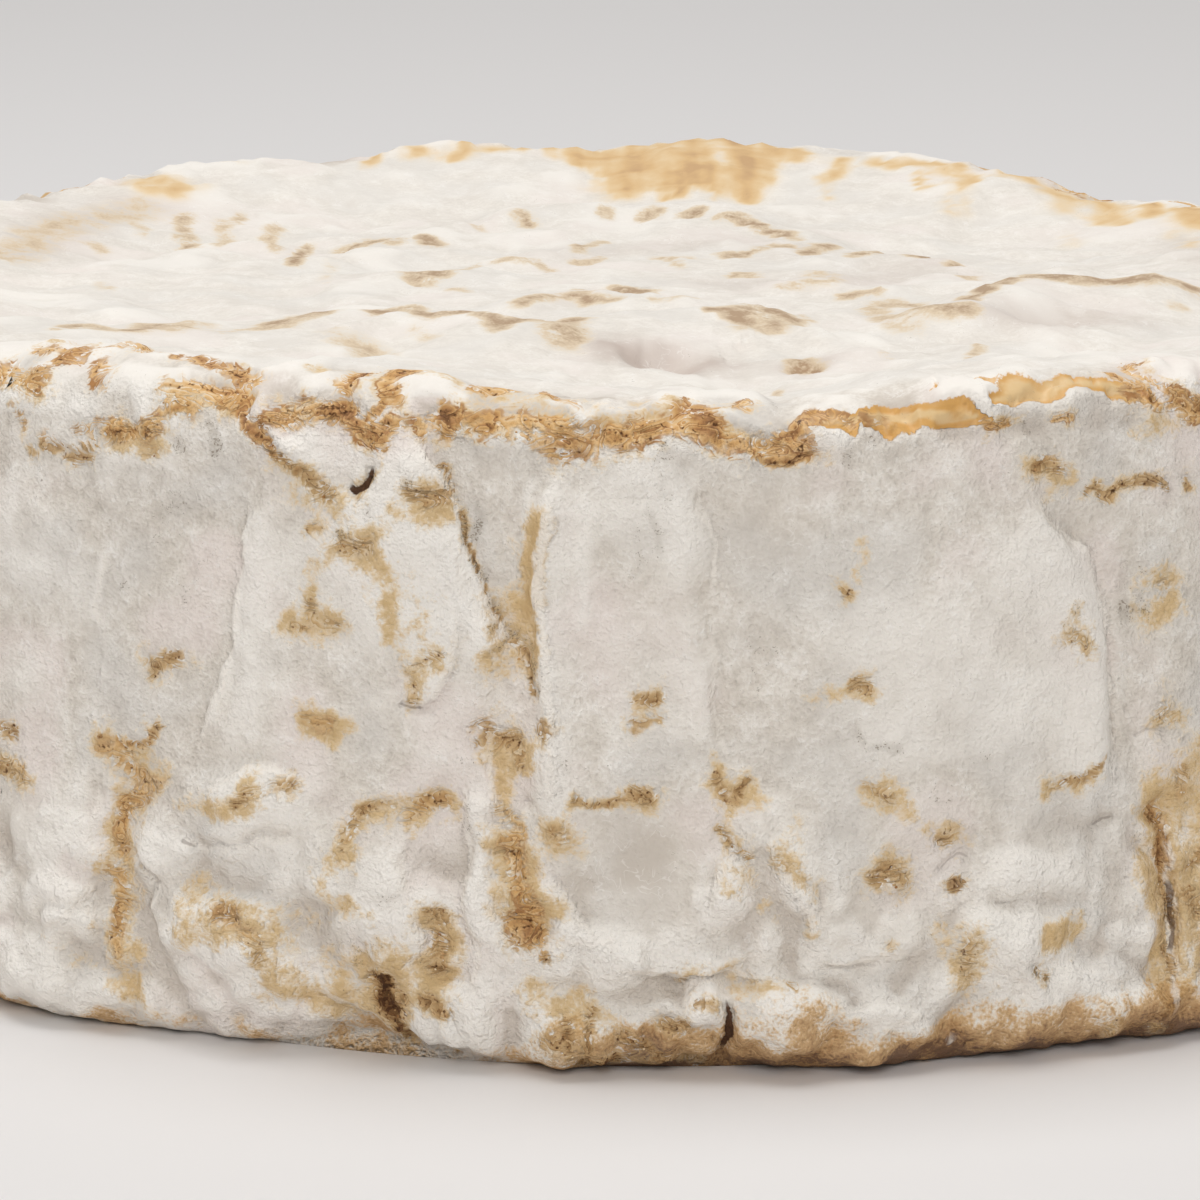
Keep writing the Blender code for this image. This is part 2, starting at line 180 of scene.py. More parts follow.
def bumps(angle, parts):
    return sum(height * hump(turned(angle - middle), spread) for middle, spread, height in parts)


def from_line(places, line):
    """How far each place is from a line, on which side (+ is its right hand), and how far along."""
    line = np.asarray(line, float)
    if len(line) == 1:
        return np.hypot(*(places - line[0]).T), np.ones(len(places)), np.full(len(places), 0.5)
    length = np.hypot(*np.diff(line, axis=0).T)
    start = np.concatenate([[0.0], np.cumsum(length)])
    nearest = np.full(len(places), np.inf)
    side, share = np.zeros((2, len(places)))
    for a, b, span, before in zip(line[:-1], line[1:], length, start):
        along = (b - a) / span
        offset = places - a
        t = np.clip(offset @ along, 0.0, span)
        distance = np.hypot(*(offset - t[:, None] * along).T)
        closer = distance < nearest
        nearest[closer] = distance[closer]
        side[closer] = np.sign(along[1] * offset[closer, 0] - along[0] * offset[closer, 1])
        share[closer] = (before + t[closer]) / start[-1]
    return nearest, side, share


def fading(share, end=0.18):
    return smooth(share / end) * smooth((1.0 - share) / end)


def ridge(places, line, half_width, height):
    distance, _, share = from_line(places, line)
    return height * hump(distance, half_width) * fading(share)


def lap(places, line, width, height, side):
    """Skin that laps over itself: an edge along the line, easing away on one side of it."""
    distance, hand, share = from_line(places, line)
    out = distance * hand * -side
    raised = smooth(out / width) * np.exp(-np.maximum(out, 0.0) / (LAP_EASE * width))
    pinched = LAP_PINCH * hump(distance, width)
    return height * (raised - pinched) * fading(share)


def uneven_ridge(places, line, right_reach, left_reach, height):
    distance, hand, share = from_line(places, line)
    away = np.where(hand > 0, right_reach, left_reach)
    return height * hump(distance, away) * fading(share)


def swell(places, middle, half_width, half_height, height, lean):
    turn = math.radians(lean)
    x, y = (places - np.asarray(middle, float)).T
    across = x * math.cos(turn) + y * math.sin(turn)
    up = y * math.cos(turn) - x * math.sin(turn)
    reach = np.clip(1.0 - (across / half_width) ** 2 - (up / half_height) ** 2, 0.0, 1.0)
    return height * reach**1.5


def hidden_folds():
    """Folds, laps and swells for the sides and the back, spaced as unevenly as those on the front."""
    draw = random.Random(FOLD_SEED)
    laps, ridges, swells = [], [], []
    angle = HIDDEN_FROM
    while angle < 360.0 - HIDDEN_FROM:
        top, foot = draw.uniform(26, 31), draw.uniform(10, 17)
        lean = draw.uniform(-3.5, 3.5)
        line = [(angle, top), (angle + lean, (top + foot) / 2), (angle + 1.6 * lean, foot)]
        laps.append((line, draw.uniform(1.1, 1.4), draw.uniform(0.35, 0.65), draw.choice((-1, 1))))
        low = angle + draw.uniform(2.0, 7.0)
        bend = draw.uniform(-1.5, 1.5)
        line = [(low, draw.uniform(13, 18)), (low + bend, 8.0), (low - bend, draw.uniform(2, 4))]
        ridges.append((line, draw.uniform(1.3, 1.7), draw.uniform(-0.7, -0.35)))
        middle = (angle + draw.uniform(3.0, 8.0), draw.uniform(4.5, 10.0))
        size = draw.uniform(3.6, 6.0), draw.uniform(2.4, 4.6)
        swells.append((middle, *size, draw.uniform(0.5, 0.95), draw.uniform(-15, 15)))
        middle = (angle + draw.uniform(4.0, 9.0), draw.uniform(17.0, 24.0))
        swells.append((middle, draw.uniform(5, 8), draw.uniform(5, 9), draw.uniform(-0.4, 0.5), 0.0))
        angle += draw.uniform(9.0, 15.0)
    return laps, ridges, swells


HIDDEN_LAPS, HIDDEN_RIDGES, HIDDEN_SWELLS = hidden_folds()


def unrolled(line):
    """A line's (angle, reach) points as flat mm coordinates about its first angle, and that angle."""
    middle = line[0][0]
    return [(math.radians(a - middle) * RADIUS, z) for a, z in line], middle


def on_wall(angle, reach, middle):
    return np.stack([np.radians(turned(angle - middle)) * RADIUS, reach], -1)


def wall_relief(angle, height, soft):
    out = np.zeros(len(angle))
    for shape, folds in ((lap, LAPS + HIDDEN_LAPS), (ridge, RIDGES + HIDDEN_RIDGES)):
        for line, *sizes in folds:
            flat, middle = unrolled(line)
            near = np.abs(turned(angle - middle)) < FOLD_SPAN
            out[near] += shape(on_wall(angle[near], height[near], middle), flat, *sizes)
    for (middle, z), *sizes in SWELLS + HIDDEN_SWELLS:
        near = np.abs(turned(angle - middle)) < FOLD_SPAN
        out[near] += swell(on_wall(angle[near], height[near], middle), (0.0, z), *sizes)
    off_foot, off_rim = height / FOOT, (RIM_HEIGHT - height) / soft
    return out * smooth(off_foot / FADED_EDGE) * smooth(off_rim / FADED_EDGE)


def top_relief(x, y):
    places = np.stack([x, y], -1)
    up = np.zeros(len(x))
    for line, *sizes in TOP_RIDGES:
        up += uneven_ridge(places, line, *sizes)
    for middle, half_length, half_width, depth, turn in DIMPLES:
        up += swell(places, middle, half_length, half_width, -depth, turn)
    radius = np.hypot(x, y)
    around = np.degrees(np.arctan2(x, -y))
    rings = np.sin(2 * math.pi * (radius + waves(around, RING_WANDER)) / RING_SPACING)
    patchy = 0.5 + 0.5 * np.sin(np.radians(3 * around - 40)) * np.sin(np.radians(around + 120))
    shown = smooth((radius - RINGS_FROM) / RING_EASE) * smooth((RINGS_TO - radius) / RING_EASE)
    return up + RING_HEIGHT * rings * patchy * shown


FRONT_FROM, FRONT_TO = -38.0, 32.0
FRONT_COLUMNS = 344  # finer than the rest, and with twice as many rows
REST_COLUMNS = 440
FOOT_ROWS = 6
WALL_ROWS = 105
SHOULDER_ROWS = 14
SLOPE_ROWS = 28
FLOOR_STEP = 0.75
HALVE_BELOW = (32.9, 16.0, 8.0)  # inside each radius the rings have half the columns

front = np.linspace(FRONT_FROM, FRONT_TO, FRONT_COLUMNS, endpoint=False)
rest = np.linspace(FRONT_TO, 360.0 + FRONT_FROM, REST_COLUMNS, endpoint=False)
columns = np.concatenate([front, rest])
shoulder = SHOULDER + bumps(columns, SHOULDER_WIDTHS)
crest = RADIUS - shoulder - LEDGE


def section_rings():
    """Rings up the wheel: radius, height and how far the skin has run past that height."""
    one = np.ones(len(columns))
    for turn in np.linspace(0, math.pi / 2, FOOT_ROWS + 1):
        yield ((RADIUS - FOOT + FOOT * math.sin(turn)) * one, (FOOT - FOOT * math.cos(turn)) * one,
               0 * one)
    top = RIM_HEIGHT - shoulder
    for share in np.linspace(0, 1, WALL_ROWS + 1)[1:]:
        yield RADIUS * one, FOOT + (top - FOOT) * share, 0 * one
    for turn in np.linspace(0, math.pi / 2, SHOULDER_ROWS + 1)[1:]:
        yield (RADIUS - shoulder + shoulder * math.cos(turn), top + shoulder * math.sin(turn),
               shoulder * (turn - math.sin(turn)))
    past = shoulder * (math.pi / 2 - 1)
    for share in np.linspace(0, 1, SLOPE_ROWS + 1):
        radius = crest + (DISH_RADIUS - crest) * share
        yield (radius, RIM_HEIGHT - DISH_DEPTH * smooth(share) * one, past + RADIUS - shoulder - radius)
    for radius in np.arange(DISH_RADIUS - FLOOR_STEP, FLOOR_STEP, -FLOOR_STEP):
        yield radius * one, (RIM_HEIGHT - DISH_DEPTH) * one, past + RADIUS - shoulder - radius


radii, heights, overs = (np.array(part) for part in zip(*section_rings()))
ring_count = len(radii)
angles = np.broadcast_to(columns, radii.shape)
wall_rings = FOOT_ROWS + WALL_ROWS + SHOULDER_ROWS + 1  # the rings outside the crest

flat_angle, flat_height = angles[:wall_rings].ravel(), heights[:wall_rings].ravel()
soft_edge = np.broadcast_to(shoulder, (wall_rings, len(columns))).ravel()
belly = BELLY * hump(flat_height - BELLY_HEIGHT, BELLY_SPREAD) * smooth(flat_height / FOOT)
bulge = wall_relief(flat_angle, flat_height, soft_edge)
pushed = belly + bulge - SET_BACK
bulge = bulge.reshape(wall_rings, -1)
pushed += bumps(flat_angle, FOOT_SPREADS) * smooth(1.0 - flat_height / SPREAD_REACH)
out = radii.copy()
out[1:wall_rings] += pushed.reshape(wall_rings, -1)[1:]
out[wall_rings:] -= SET_BACK * smooth(1.0 - (crest - radii[wall_rings:]) / TOP_EASE)
out *= 1.0 + waves(angles, ROUND_WAVES) - bumps(angles, FLAT_SIDE)
turn = np.radians(angles)
x, y, z = out * np.sin(turn), -out * np.cos(turn), heights.copy()
rim_lift = waves(angles, RIM_WAVES) + bumps(angles, RIM_RISES)
z += rim_lift * smooth(heights / RIM_HEIGHT) * smooth(radii / DISH_RADIUS - LIFTED_FROM)
arc_lift = sum(h * hump(np.radians(turned(angles - a)) * RADIUS, w) for a, w, h in NOTCHES)
z[1:] += arc_lift[1:] * smooth(1.0 - heights[1:] / FOOT_REACH)
inner = slice(wall_rings, ring_count)
settled = smooth((RADIUS - radii[inner]) / TOP_EASE)
z[inner] += top_relief(x[inner].ravel(), y[inner].ravel()).reshape(x[inner].shape) * settled
form = np.stack([x, y, z], -1)
reach = z + overs


# The mould rind's fine relief and its stains
# A felt of white mould over a thin skin. It folds, cracks and wrinkles, is worn to the amber paste
# along the rim, and is stained ochre and brown where it was rubbed or turned moist.
GRAIN_SHIFT, SEED_SHIFT = 500.0, 17.3  # keep every place positive and every seed apart
MIXING = (73856093, 19349663, 83492791)
SCRAMBLES = ((15, 2246822519, 0xFFFFFFFF), (13, 1, 0xFFFF))


def grain(places, size, seed):
    """Soft noise from -1 to 1 with grains of this size in mm."""
    scaled = places / size + seed * SEED_SHIFT + GRAIN_SHIFT
    cell = np.floor(scaled).astype(np.uint64)
    part = smooth(scaled - np.floor(scaled))
    total = np.zeros(places.shape[:-1])
    for corner in np.ndindex(2, 2, 2):
        weight = np.prod(np.where(corner, part, 1.0 - part), axis=-1)
        mixed = (cell + np.array(corner, np.uint64)) * np.array(MIXING, np.uint64)
        key = np.bitwise_xor.reduce(mixed, axis=-1)
        for shift, factor, kept in SCRAMBLES:
            key = (key ^ (key >> np.uint64(shift))) * np.uint64(factor) & np.uint64(kept)
        total += weight * (key.astype(float) / (0xFFFF / 2) - 1.0)
    return total


# Stains, by kind. Each is its line of (angle, reach) places, its half width in mm, and its strength.
CRUST = [  # rough scabs: pale ochre at the edge, brown within, nearly black past 1.2
    # the golden ground of the worn rim
    ([(-9.8, 31.9), (-7, 32.2), (-4.8, 32), (-3.4, 31.6), (-1.4, 32.1), (1, 32.3), (2.6, 32), (4, 31.5),
      (6, 31.2), (7.6, 31)], 0.8, 0.62),
    ([(-7.2, 31.5), (-5.6, 31.2), (-4.4, 30.9), (-3, 31)], 0.45, 0.75),
    ([(-9.9, 27.6), (-9.6, 26.8), (-9.2, 25.6), (-9, 25)], 0.13, 1.3),
    ([(-8.9, 24.6), (-8.5, 23.8)], 0.1, 0.9), ([(-8.2, 23), (-7.8, 22.4)], 0.14, 1.2),
    ([(-7.4, 21.3), (-6.9, 20.6), (-6.6, 20), (-6.5, 19.2)], 0.2, 1.15),
    ([(-11.2, 29.8), (-10.7, 29), (-10.2, 28.2)], 0.12, 0.8),
    ([(-19.8, 32.1), (-18, 32.4), (-16.6, 32.4), (-15.2, 31.6), (-14.2, 31.6)], 0.65, 0.6),
    ([(-27, 33), (-25.4, 33.2), (-23.6, 33), (-22, 32.2), (-20.4, 30.6), (-18.8, 29.4), (-17.2, 28.6)],
      0.55, 0.5), ([(-28, 35.6), (-25.6, 35.3), (-23.4, 34.4)], 0.55, 0.45),
    ([(-38, 35.2), (-35, 35.2), (-32.6, 36.2), (-30.4, 36.2)], 0.6, 0.5),
    ([(-34.6, 29.8), (-32.6, 29.4), (-30.4, 30.4), (-28.4, 30.4), (-27.2, 31.4)], 0.6, 0.5),
    ([(-13, 32.2), (-11, 32.2), (-9.8, 32.2)], 0.5, 0.5),
    ([(-9.8, 34.6), (-7.4, 34.9), (-5.6, 35)], 0.5, 0.5),
    # the worn rim from the left
    ([(-38, 35), (-35, 35), (-33.5, 35.6), (-32, 36.4), (-30.5, 36)], 0.45, 0.9),
    ([(-35.2, 34), (-34, 34.3)], 0.45, 0.75), ([(-31.9, 34), (-31.6, 33)], 0.9, 0.55),
    ([(-32.6, 30.8), (-31.2, 30.6), (-30, 30.35)], 0.35, 0.55),
    ([(-30.2, 30.3), (-29, 30.3), (-28.2, 30.7), (-27.4, 31.3)], 0.5, 1.2),
    ([(-27.4, 31.3), (-27, 32.1), (-26.6, 32.7)], 0.35, 0.6),
    ([(-27.9, 29.7), (-27.3, 29.7)], 0.4, 0.6), ([(-37.2, 30.7), (-36.3, 30.3)], 0.25, 0.7),
    ([(-35.9, 29.2), (-35.6, 29.1)], 0.4, 0.65),
    ([(-34.8, 29.8), (-34, 29.5), (-33.2, 29.3), (-32.2, 29.3), (-31.8, 29.1)], 0.22, 0.85),
    ([(-27, 33), (-26, 33.3), (-25, 33.6), (-24, 33.4), (-23, 33.2), (-22.2, 32.7)], 0.25, 1),
    ([(-26.4, 32.5), (-25.8, 32.3)], 0.5, 0.6), ([(-24.3, 32.8), (-23.4, 32.6)], 0.5, 0.8),
    ([(-28.1, 35.8), (-27, 35.6), (-26, 35.4), (-25, 35.6), (-24.2, 35), (-23.2, 34.2), (-22.2, 33.8)],
      0.4, 0.9), ([(-22.3, 32.4), (-21.5, 31.7), (-20.8, 31), (-20, 30.2)], 0.35, 1.05),
    ([(-20, 30.1), (-19, 29.6), (-18.3, 29), (-17.6, 28.5)], 0.35, 0.8),
    ([(-17.6, 28.4), (-17, 28.3)], 0.5, 0.75),
    # the rim's middle
    ([(-19.6, 32.2), (-19, 32.3), (-18.2, 32.5), (-17.6, 32.4)], 0.4, 1.05),
    ([(-17.6, 32.6), (-16.8, 32.8), (-16, 32.4), (-15.4, 31.8), (-15.1, 31.4)], 0.4, 1.05),
    ([(-17, 32.2), (-16, 31.9)], 0.4, 0.9), ([(-14.6, 31.6), (-14.2, 31.3), (-13.6, 32)], 0.48, 1.25),
    ([(-15, 32.3), (-14.4, 32.6), (-14, 33.2)], 0.22, 0.9),
    ([(-15.9, 36), (-16.2, 34.8), (-16.6, 34.1)], 0.5, 1.25),
    ([(-13, 36), (-13.8, 35.2), (-14.2, 34.1), (-13.8, 33.5)], 0.5, 1.25),
    ([(-11, 32.5), (-10.2, 32.4), (-10.6, 31.8)], 0.5, 1.3), ([(-12.6, 32.3), (-12.2, 31.6)], 0.25, 1),
    ([(-9.7, 34.5), (-8.8, 34.5), (-8, 34.7), (-6.6, 35.2), (-5.9, 35.6)], 0.38, 0.85),
    ([(-5.4, 34), (-4.6, 33.5), (-4, 33.2)], 0.35, 0.55),
    ([(-9.6, 31.8), (-8.4, 31.9), (-7.2, 32.2), (-6, 32.4), (-5.2, 32.5), (-4.8, 32.3)], 0.3, 1),
    ([(-4.7, 31.6), (-4.1, 31.4), (-3.6, 31.5)], 0.45, 1),
    ([(-3.6, 31.3), (-2.6, 31.6), (-1.6, 32), (-0.4, 32.1), (1, 32.1), (2, 32.1), (2.6, 31.7)],
      0.5, 0.9), ([(1.4, 33.2), (2.2, 33.2), (2.8, 32.7), (3.1, 32.1)], 0.42, 1.25),
    ([(3.1, 31.7), (3.2, 31.5)], 0.5, 1.35),
    ([(1.9, 33.9), (3, 33.9), (4.2, 33.5), (5, 33.9)], 0.25, 0.95),
    ([(4.5, 33.3), (4.8, 33.2)], 0.3, 0.95), ([(3.8, 31.2), (4.8, 31.2), (5.8, 31.1)], 0.28, 1.05),
    ([(5.1, 30.8), (5.6, 30.4), (6.1, 30), (6.6, 30), (7.2, 30.5), (7.9, 30.7)], 0.2, 1.15),
    ([(7.3, 30.6), (7.6, 30.6)], 0.3, 1.05), ([(6.4, 31.7), (7.2, 31.9), (7.9, 32.2)], 0.3, 0.8),
    ([(8.2, 32.4), (9.2, 32.5), (10.2, 32.2)], 0.5, 0.42), ([(11.4, 32.6), (12.4, 32.4)], 0.5, 0.3),
    ([(26.2, 33), (27, 32.6)], 0.5, 0.5),
    # the rim's right
    ([(17.2, 31.7), (17.7, 31.5)], 0.25, 1), ([(18.2, 31.5), (19.2, 31.7)], 0.28, 0.8),
    ([(25.9, 34.3), (26.6, 33.6), (27.2, 32.8), (27.6, 32.1)], 0.3, 1.15),
    ([(27.4, 35), (28.3, 35.4)], 0.35, 0.6),
    ([(27.2, 34.4), (27.6, 33.6), (28.2, 33), (28.8, 32.6)], 0.28, 0.8),
    ([(28.9, 32.2), (29.6, 31.8), (30.2, 31.3), (31.2, 31.6)], 0.6, 1.1),
    ([(21.6, 31.8), (22.4, 31.8)], 0.18, 0.8),
    # the wall, left of the long diagonal crease
    ([(-27.5, 19.2), (-26.7, 19.5), (-26, 19.4)], 0.45, 0.95),
    ([(-38, 14.8), (-37.2, 14.8)], 0.45, 0.9), ([(-38, 13), (-37, 12.9), (-36.3, 12.4)], 0.5, 1.2),
    ([(-30.6, 15.3), (-29.5, 15), (-28.4, 15.2), (-27.6, 15.7), (-27, 16)], 0.3, 0.9),
    ([(-30.6, 14.6), (-29.4, 14.5)], 0.4, 0.8),
    ([(-30, 14.2), (-29, 13.6), (-28, 13.2), (-27.2, 13.2)], 0.4, 0.7),
    ([(-27.2, 13.1), (-28.5, 12.4), (-29.6, 11.8), (-29.4, 11.2)], 0.5, 0.66),
    ([(-29.5, 11.2), (-29.4, 10.2), (-29.5, 9.2)], 0.45, 0.56),
    ([(-29.8, 8.4), (-29.4, 7.4), (-29.7, 6.2), (-29.8, 5.1)], 0.5, 0.72),
    ([(-29.6, 4.9), (-29.3, 4.3)], 0.35, 0.7),
    ([(-21.8, 13.3), (-20.3, 13.9), (-19, 14.3)], 0.32, 0.75), ([(-22.9, 7.4), (-22.4, 7.2)], 0.5, 0.8),
    ([(-21.8, 6.6), (-21, 6.2), (-20.4, 5.3)], 0.5, 0.75),
    ([(-12.4, 28.7), (-11.6, 28.3), (-10.8, 28.3)], 0.38, 1),
    ([(-15.5, 28.5), (-14.9, 28.7), (-14.5, 29.3)], 0.2, 0.9),
    ([(-18.3, 26.7), (-17.8, 26.7)], 0.28, 0.85),
    ([(-16.4, 26), (-15.6, 25.9), (-14.8, 26.2)], 0.55, 0.6), ([(-18, 23), (-17.9, 22.2)], 0.35, 0.7),
    ([(-18.8, 21.7), (-17.6, 21.9), (-16.7, 21.9)], 0.3, 0.75),
    ([(-12.8, 20.2), (-12, 20.5), (-11.1, 21)], 0.25, 0.9),
    ([(-12.5, 19.4), (-12.6, 18.5)], 0.28, 0.75), ([(-18.2, 17.5), (-17.2, 17.3)], 0.55, 0.5),
    ([(-11, 13.4), (-12, 13.5), (-12.6, 13.1)], 0.45, 0.95),
    ([(-13.6, 13.6), (-15.2, 13.4), (-15.8, 13)], 0.3, 0.75),
    ([(-15.9, 12.6), (-16.2, 11.8), (-16, 11)], 0.4, 0.65),
    ([(-11.5, 8.3), (-11.2, 8.2), (-10.7, 7.8)], 0.3, 0.65), ([(-11.4, 5.4), (-11.1, 5.5)], 0.3, 1.3),
    ([(-11.7, 3.8), (-11, 3.7), (-10.6, 3.2)], 0.35, 1.45), ([(-14.3, 4.5), (-13.9, 3.9)], 0.5, 2.1),
    ([(-14.1, 3.3), (-13.6, 3)], 0.6, 2.4), ([(-13.5, 2.3), (-13.2, 1.6)], 0.42, 2),
    ([(-11.4, 7), (-11.3, 5.8)], 0.6, 0.5),
    # the trough beside the sharp ridge
    ([(-9.6, 17.5), (-8.9, 17.9), (-8.4, 17.3), (-8.9, 17)], 0.4, 0.85),
    ([(-8, 16.8), (-7.4, 16.8), (-7, 16.6)], 0.35, 1.1), ([(-5.9, 17.7), (-5.5, 17.7)], 0.35, 0.75),
    ([(-6.8, 16.5), (-6.6, 15.5)], 0.25, 0.7), ([(-8, 13.2), (-7.2, 12.8), (-6.8, 12.4)], 0.45, 0.7),
    ([(-8.1, 11.9), (-7.6, 11.8), (-7.3, 12)], 0.28, 1.15),
    ([(-7.2, 11.4), (-7, 10.4), (-6.7, 9.4), (-6.3, 8.6)], 0.5, 0.75),
    ([(-6.8, 7.9), (-6.6, 7.3), (-6.1, 7.4)], 0.55, 1.25), ([(-5.7, 6.1), (-5.5, 6)], 0.28, 0.95),
    ([(-4.9, 12.5), (-4.6, 12.2)], 0.5, 0.65),
    ([(-3.8, 14), (-2.6, 13.8), (-1.4, 14.2), (-0.4, 14.4)], 0.25, 0.8),
    ([(-0.8, 14.3), (-0.1, 14.3)], 0.45, 0.95), ([(-3.3, 3.4), (-3.2, 2.6), (-3.3, 1.8)], 0.35, 0.8),
    ([(-5.3, 2), (-5, 1.6)], 0.45, 0.75), ([(-4.6, 3.2), (-4.2, 1.8)], 0.35, 0.85),
    ([(-1.6, 2.6), (-0.6, 2), (0.4, 1.4)], 0.4, 1), ([(0.6, 3.2), (1.8, 2.9)], 0.28, 0.8),
    ([(-2.6, 1.4), (-1.8, 0.9)], 0.4, 1.1), ([(-3.6, 1), (-0.4, 0.8), (2.4, 0.8)], 0.5, 1),
    ([(-2, 2.1), (-1.6, 2.1)], 0.25, 0.9),
    # the middle of the wall
    ([(-0.8, 18.8), (0.4, 18.8)], 0.4, 0.9), ([(-1, 17.8), (0.4, 17.8)], 0.3, 0.65),
    ([(3.1, 15.6), (3.5, 15), (3.9, 14.3)], 0.25, 0.8),
    ([(4.7, 15.1), (4.4, 14.6), (4.2, 14.1)], 0.22, 1.1),
    ([(3.3, 12.8), (3.9, 12), (4.3, 11.4), (5, 11)], 0.25, 0.95),
    ([(6.5, 11.2), (7, 10.8)], 0.3, 0.8), ([(2.2, 3.9), (3, 3.9)], 0.2, 0.8),
    ([(10.2, 19.4), (11.2, 19.4)], 0.32, 0.75), ([(9.9, 24), (10.2, 23.9)], 0.25, 0.85),
    ([(11.2, 14.8), (11.7, 14.2), (12, 13.7)], 0.28, 0.85),
    ([(11.8, 10), (12.4, 10.2), (12.8, 9.8)], 0.55, 0.7), ([(14.7, 11.6), (15.2, 11.5)], 0.35, 0.8),
    ([(15.3, 12.3), (15.6, 12.1)], 0.45, 0.65), ([(15.5, 9.5), (15.8, 9.4)], 0.3, 0.8),
    ([(16.2, 6.4), (16.4, 5.4)], 0.5, 0.75), ([(7, 4.9), (7.3, 4.8)], 0.28, 0.7),
    ([(1.7, 5.3), (1.9, 5.2)], 0.22, 0.8), ([(12.1, 6.9), (12.3, 6.6)], 0.35, 0.6),
    # the right
    ([(20.6, 29.2), (21.2, 29.5), (21.7, 29.3)], 0.45, 0.9),
    ([(23.3, 28), (23.9, 28.1), (24.2, 27.6), (24.8, 27.4), (25.2, 27.8), (25.6, 28)], 0.24, 1),
    ([(25.6, 28.2), (26.5, 28.2), (27.4, 28.1)], 0.28, 0.95), ([(27.9, 28.1), (28.4, 27.9)], 0.2, 0.8),
    ([(29.7, 28.1), (29.9, 27.9)], 0.22, 0.95), ([(28.3, 23.2), (28.6, 22.9)], 0.5, 0.6),
    ([(22.6, 20.9), (23.1, 20.5)], 0.5, 0.65), ([(28, 16.8), (28.8, 16.2)], 0.6, 0.55),
    ([(21.2, 14), (22.5, 14.2), (23.6, 14.3), (24.3, 14.6)], 0.28, 0.65),
    ([(28.1, 11.6), (28.3, 10.6)], 0.5, 0.75), ([(28.1, 9.8), (28.3, 9.3)], 0.42, 1.15),
    ([(28.4, 8.6), (28.3, 7.4), (28.6, 6.4)], 0.28, 0.8), ([(28.4, 4.9), (28.3, 4.7)], 0.25, 1.2),
    ([(28.6, 4.2), (28.6, 3.8)], 0.25, 0.95), ([(20, 5.1), (20.6, 4.8), (21, 4.6)], 0.2, 0.9),
    ([(24.6, 1.5), (24.7, 1)], 0.35, 1.1), ([(27.4, 1), (28, 0.8)], 0.4, 0.9),
    ([(30, 9), (30.9, 9.6), (31.5, 10.5)], 0.3, 0.7), ([(29.6, 7.5), (30.6, 5.5)], 0.5, 0.6),
    ([(31.4, 8.5), (31.8, 6)], 0.5, 0.7), ([(30.4, 3.6), (31.6, 2.4)], 0.5, 0.7),
    ([(29.2, 13.6), (29.6, 12.2)], 0.4, 0.5), ([(-26.2, 32.3), (-25.2, 32)], 0.5, 0.75),
]
ORANGE_PARTS = [  # where the crust is more orange than brown, besides the rim
    ([(-7.2, 11.4), (-6.8, 9), (-6.4, 7)], 1.4, 1),
    ([(-29.4, 14.6), (-28.2, 13.2), (-29.5, 11), (-29.5, 5)], 1.6, 0.8),
    ([(-17.2, 17.4)], 1.2, 0.6), ([(-11.6, 13.4)], 1, 0.6), ([(-22.4, 7.2)], 1, 0.5),
    ([(28.4, 11.6), (28.3, 9.2)], 1, 0.6), ([(21.8, 6.4)], 1, 0.6),
]
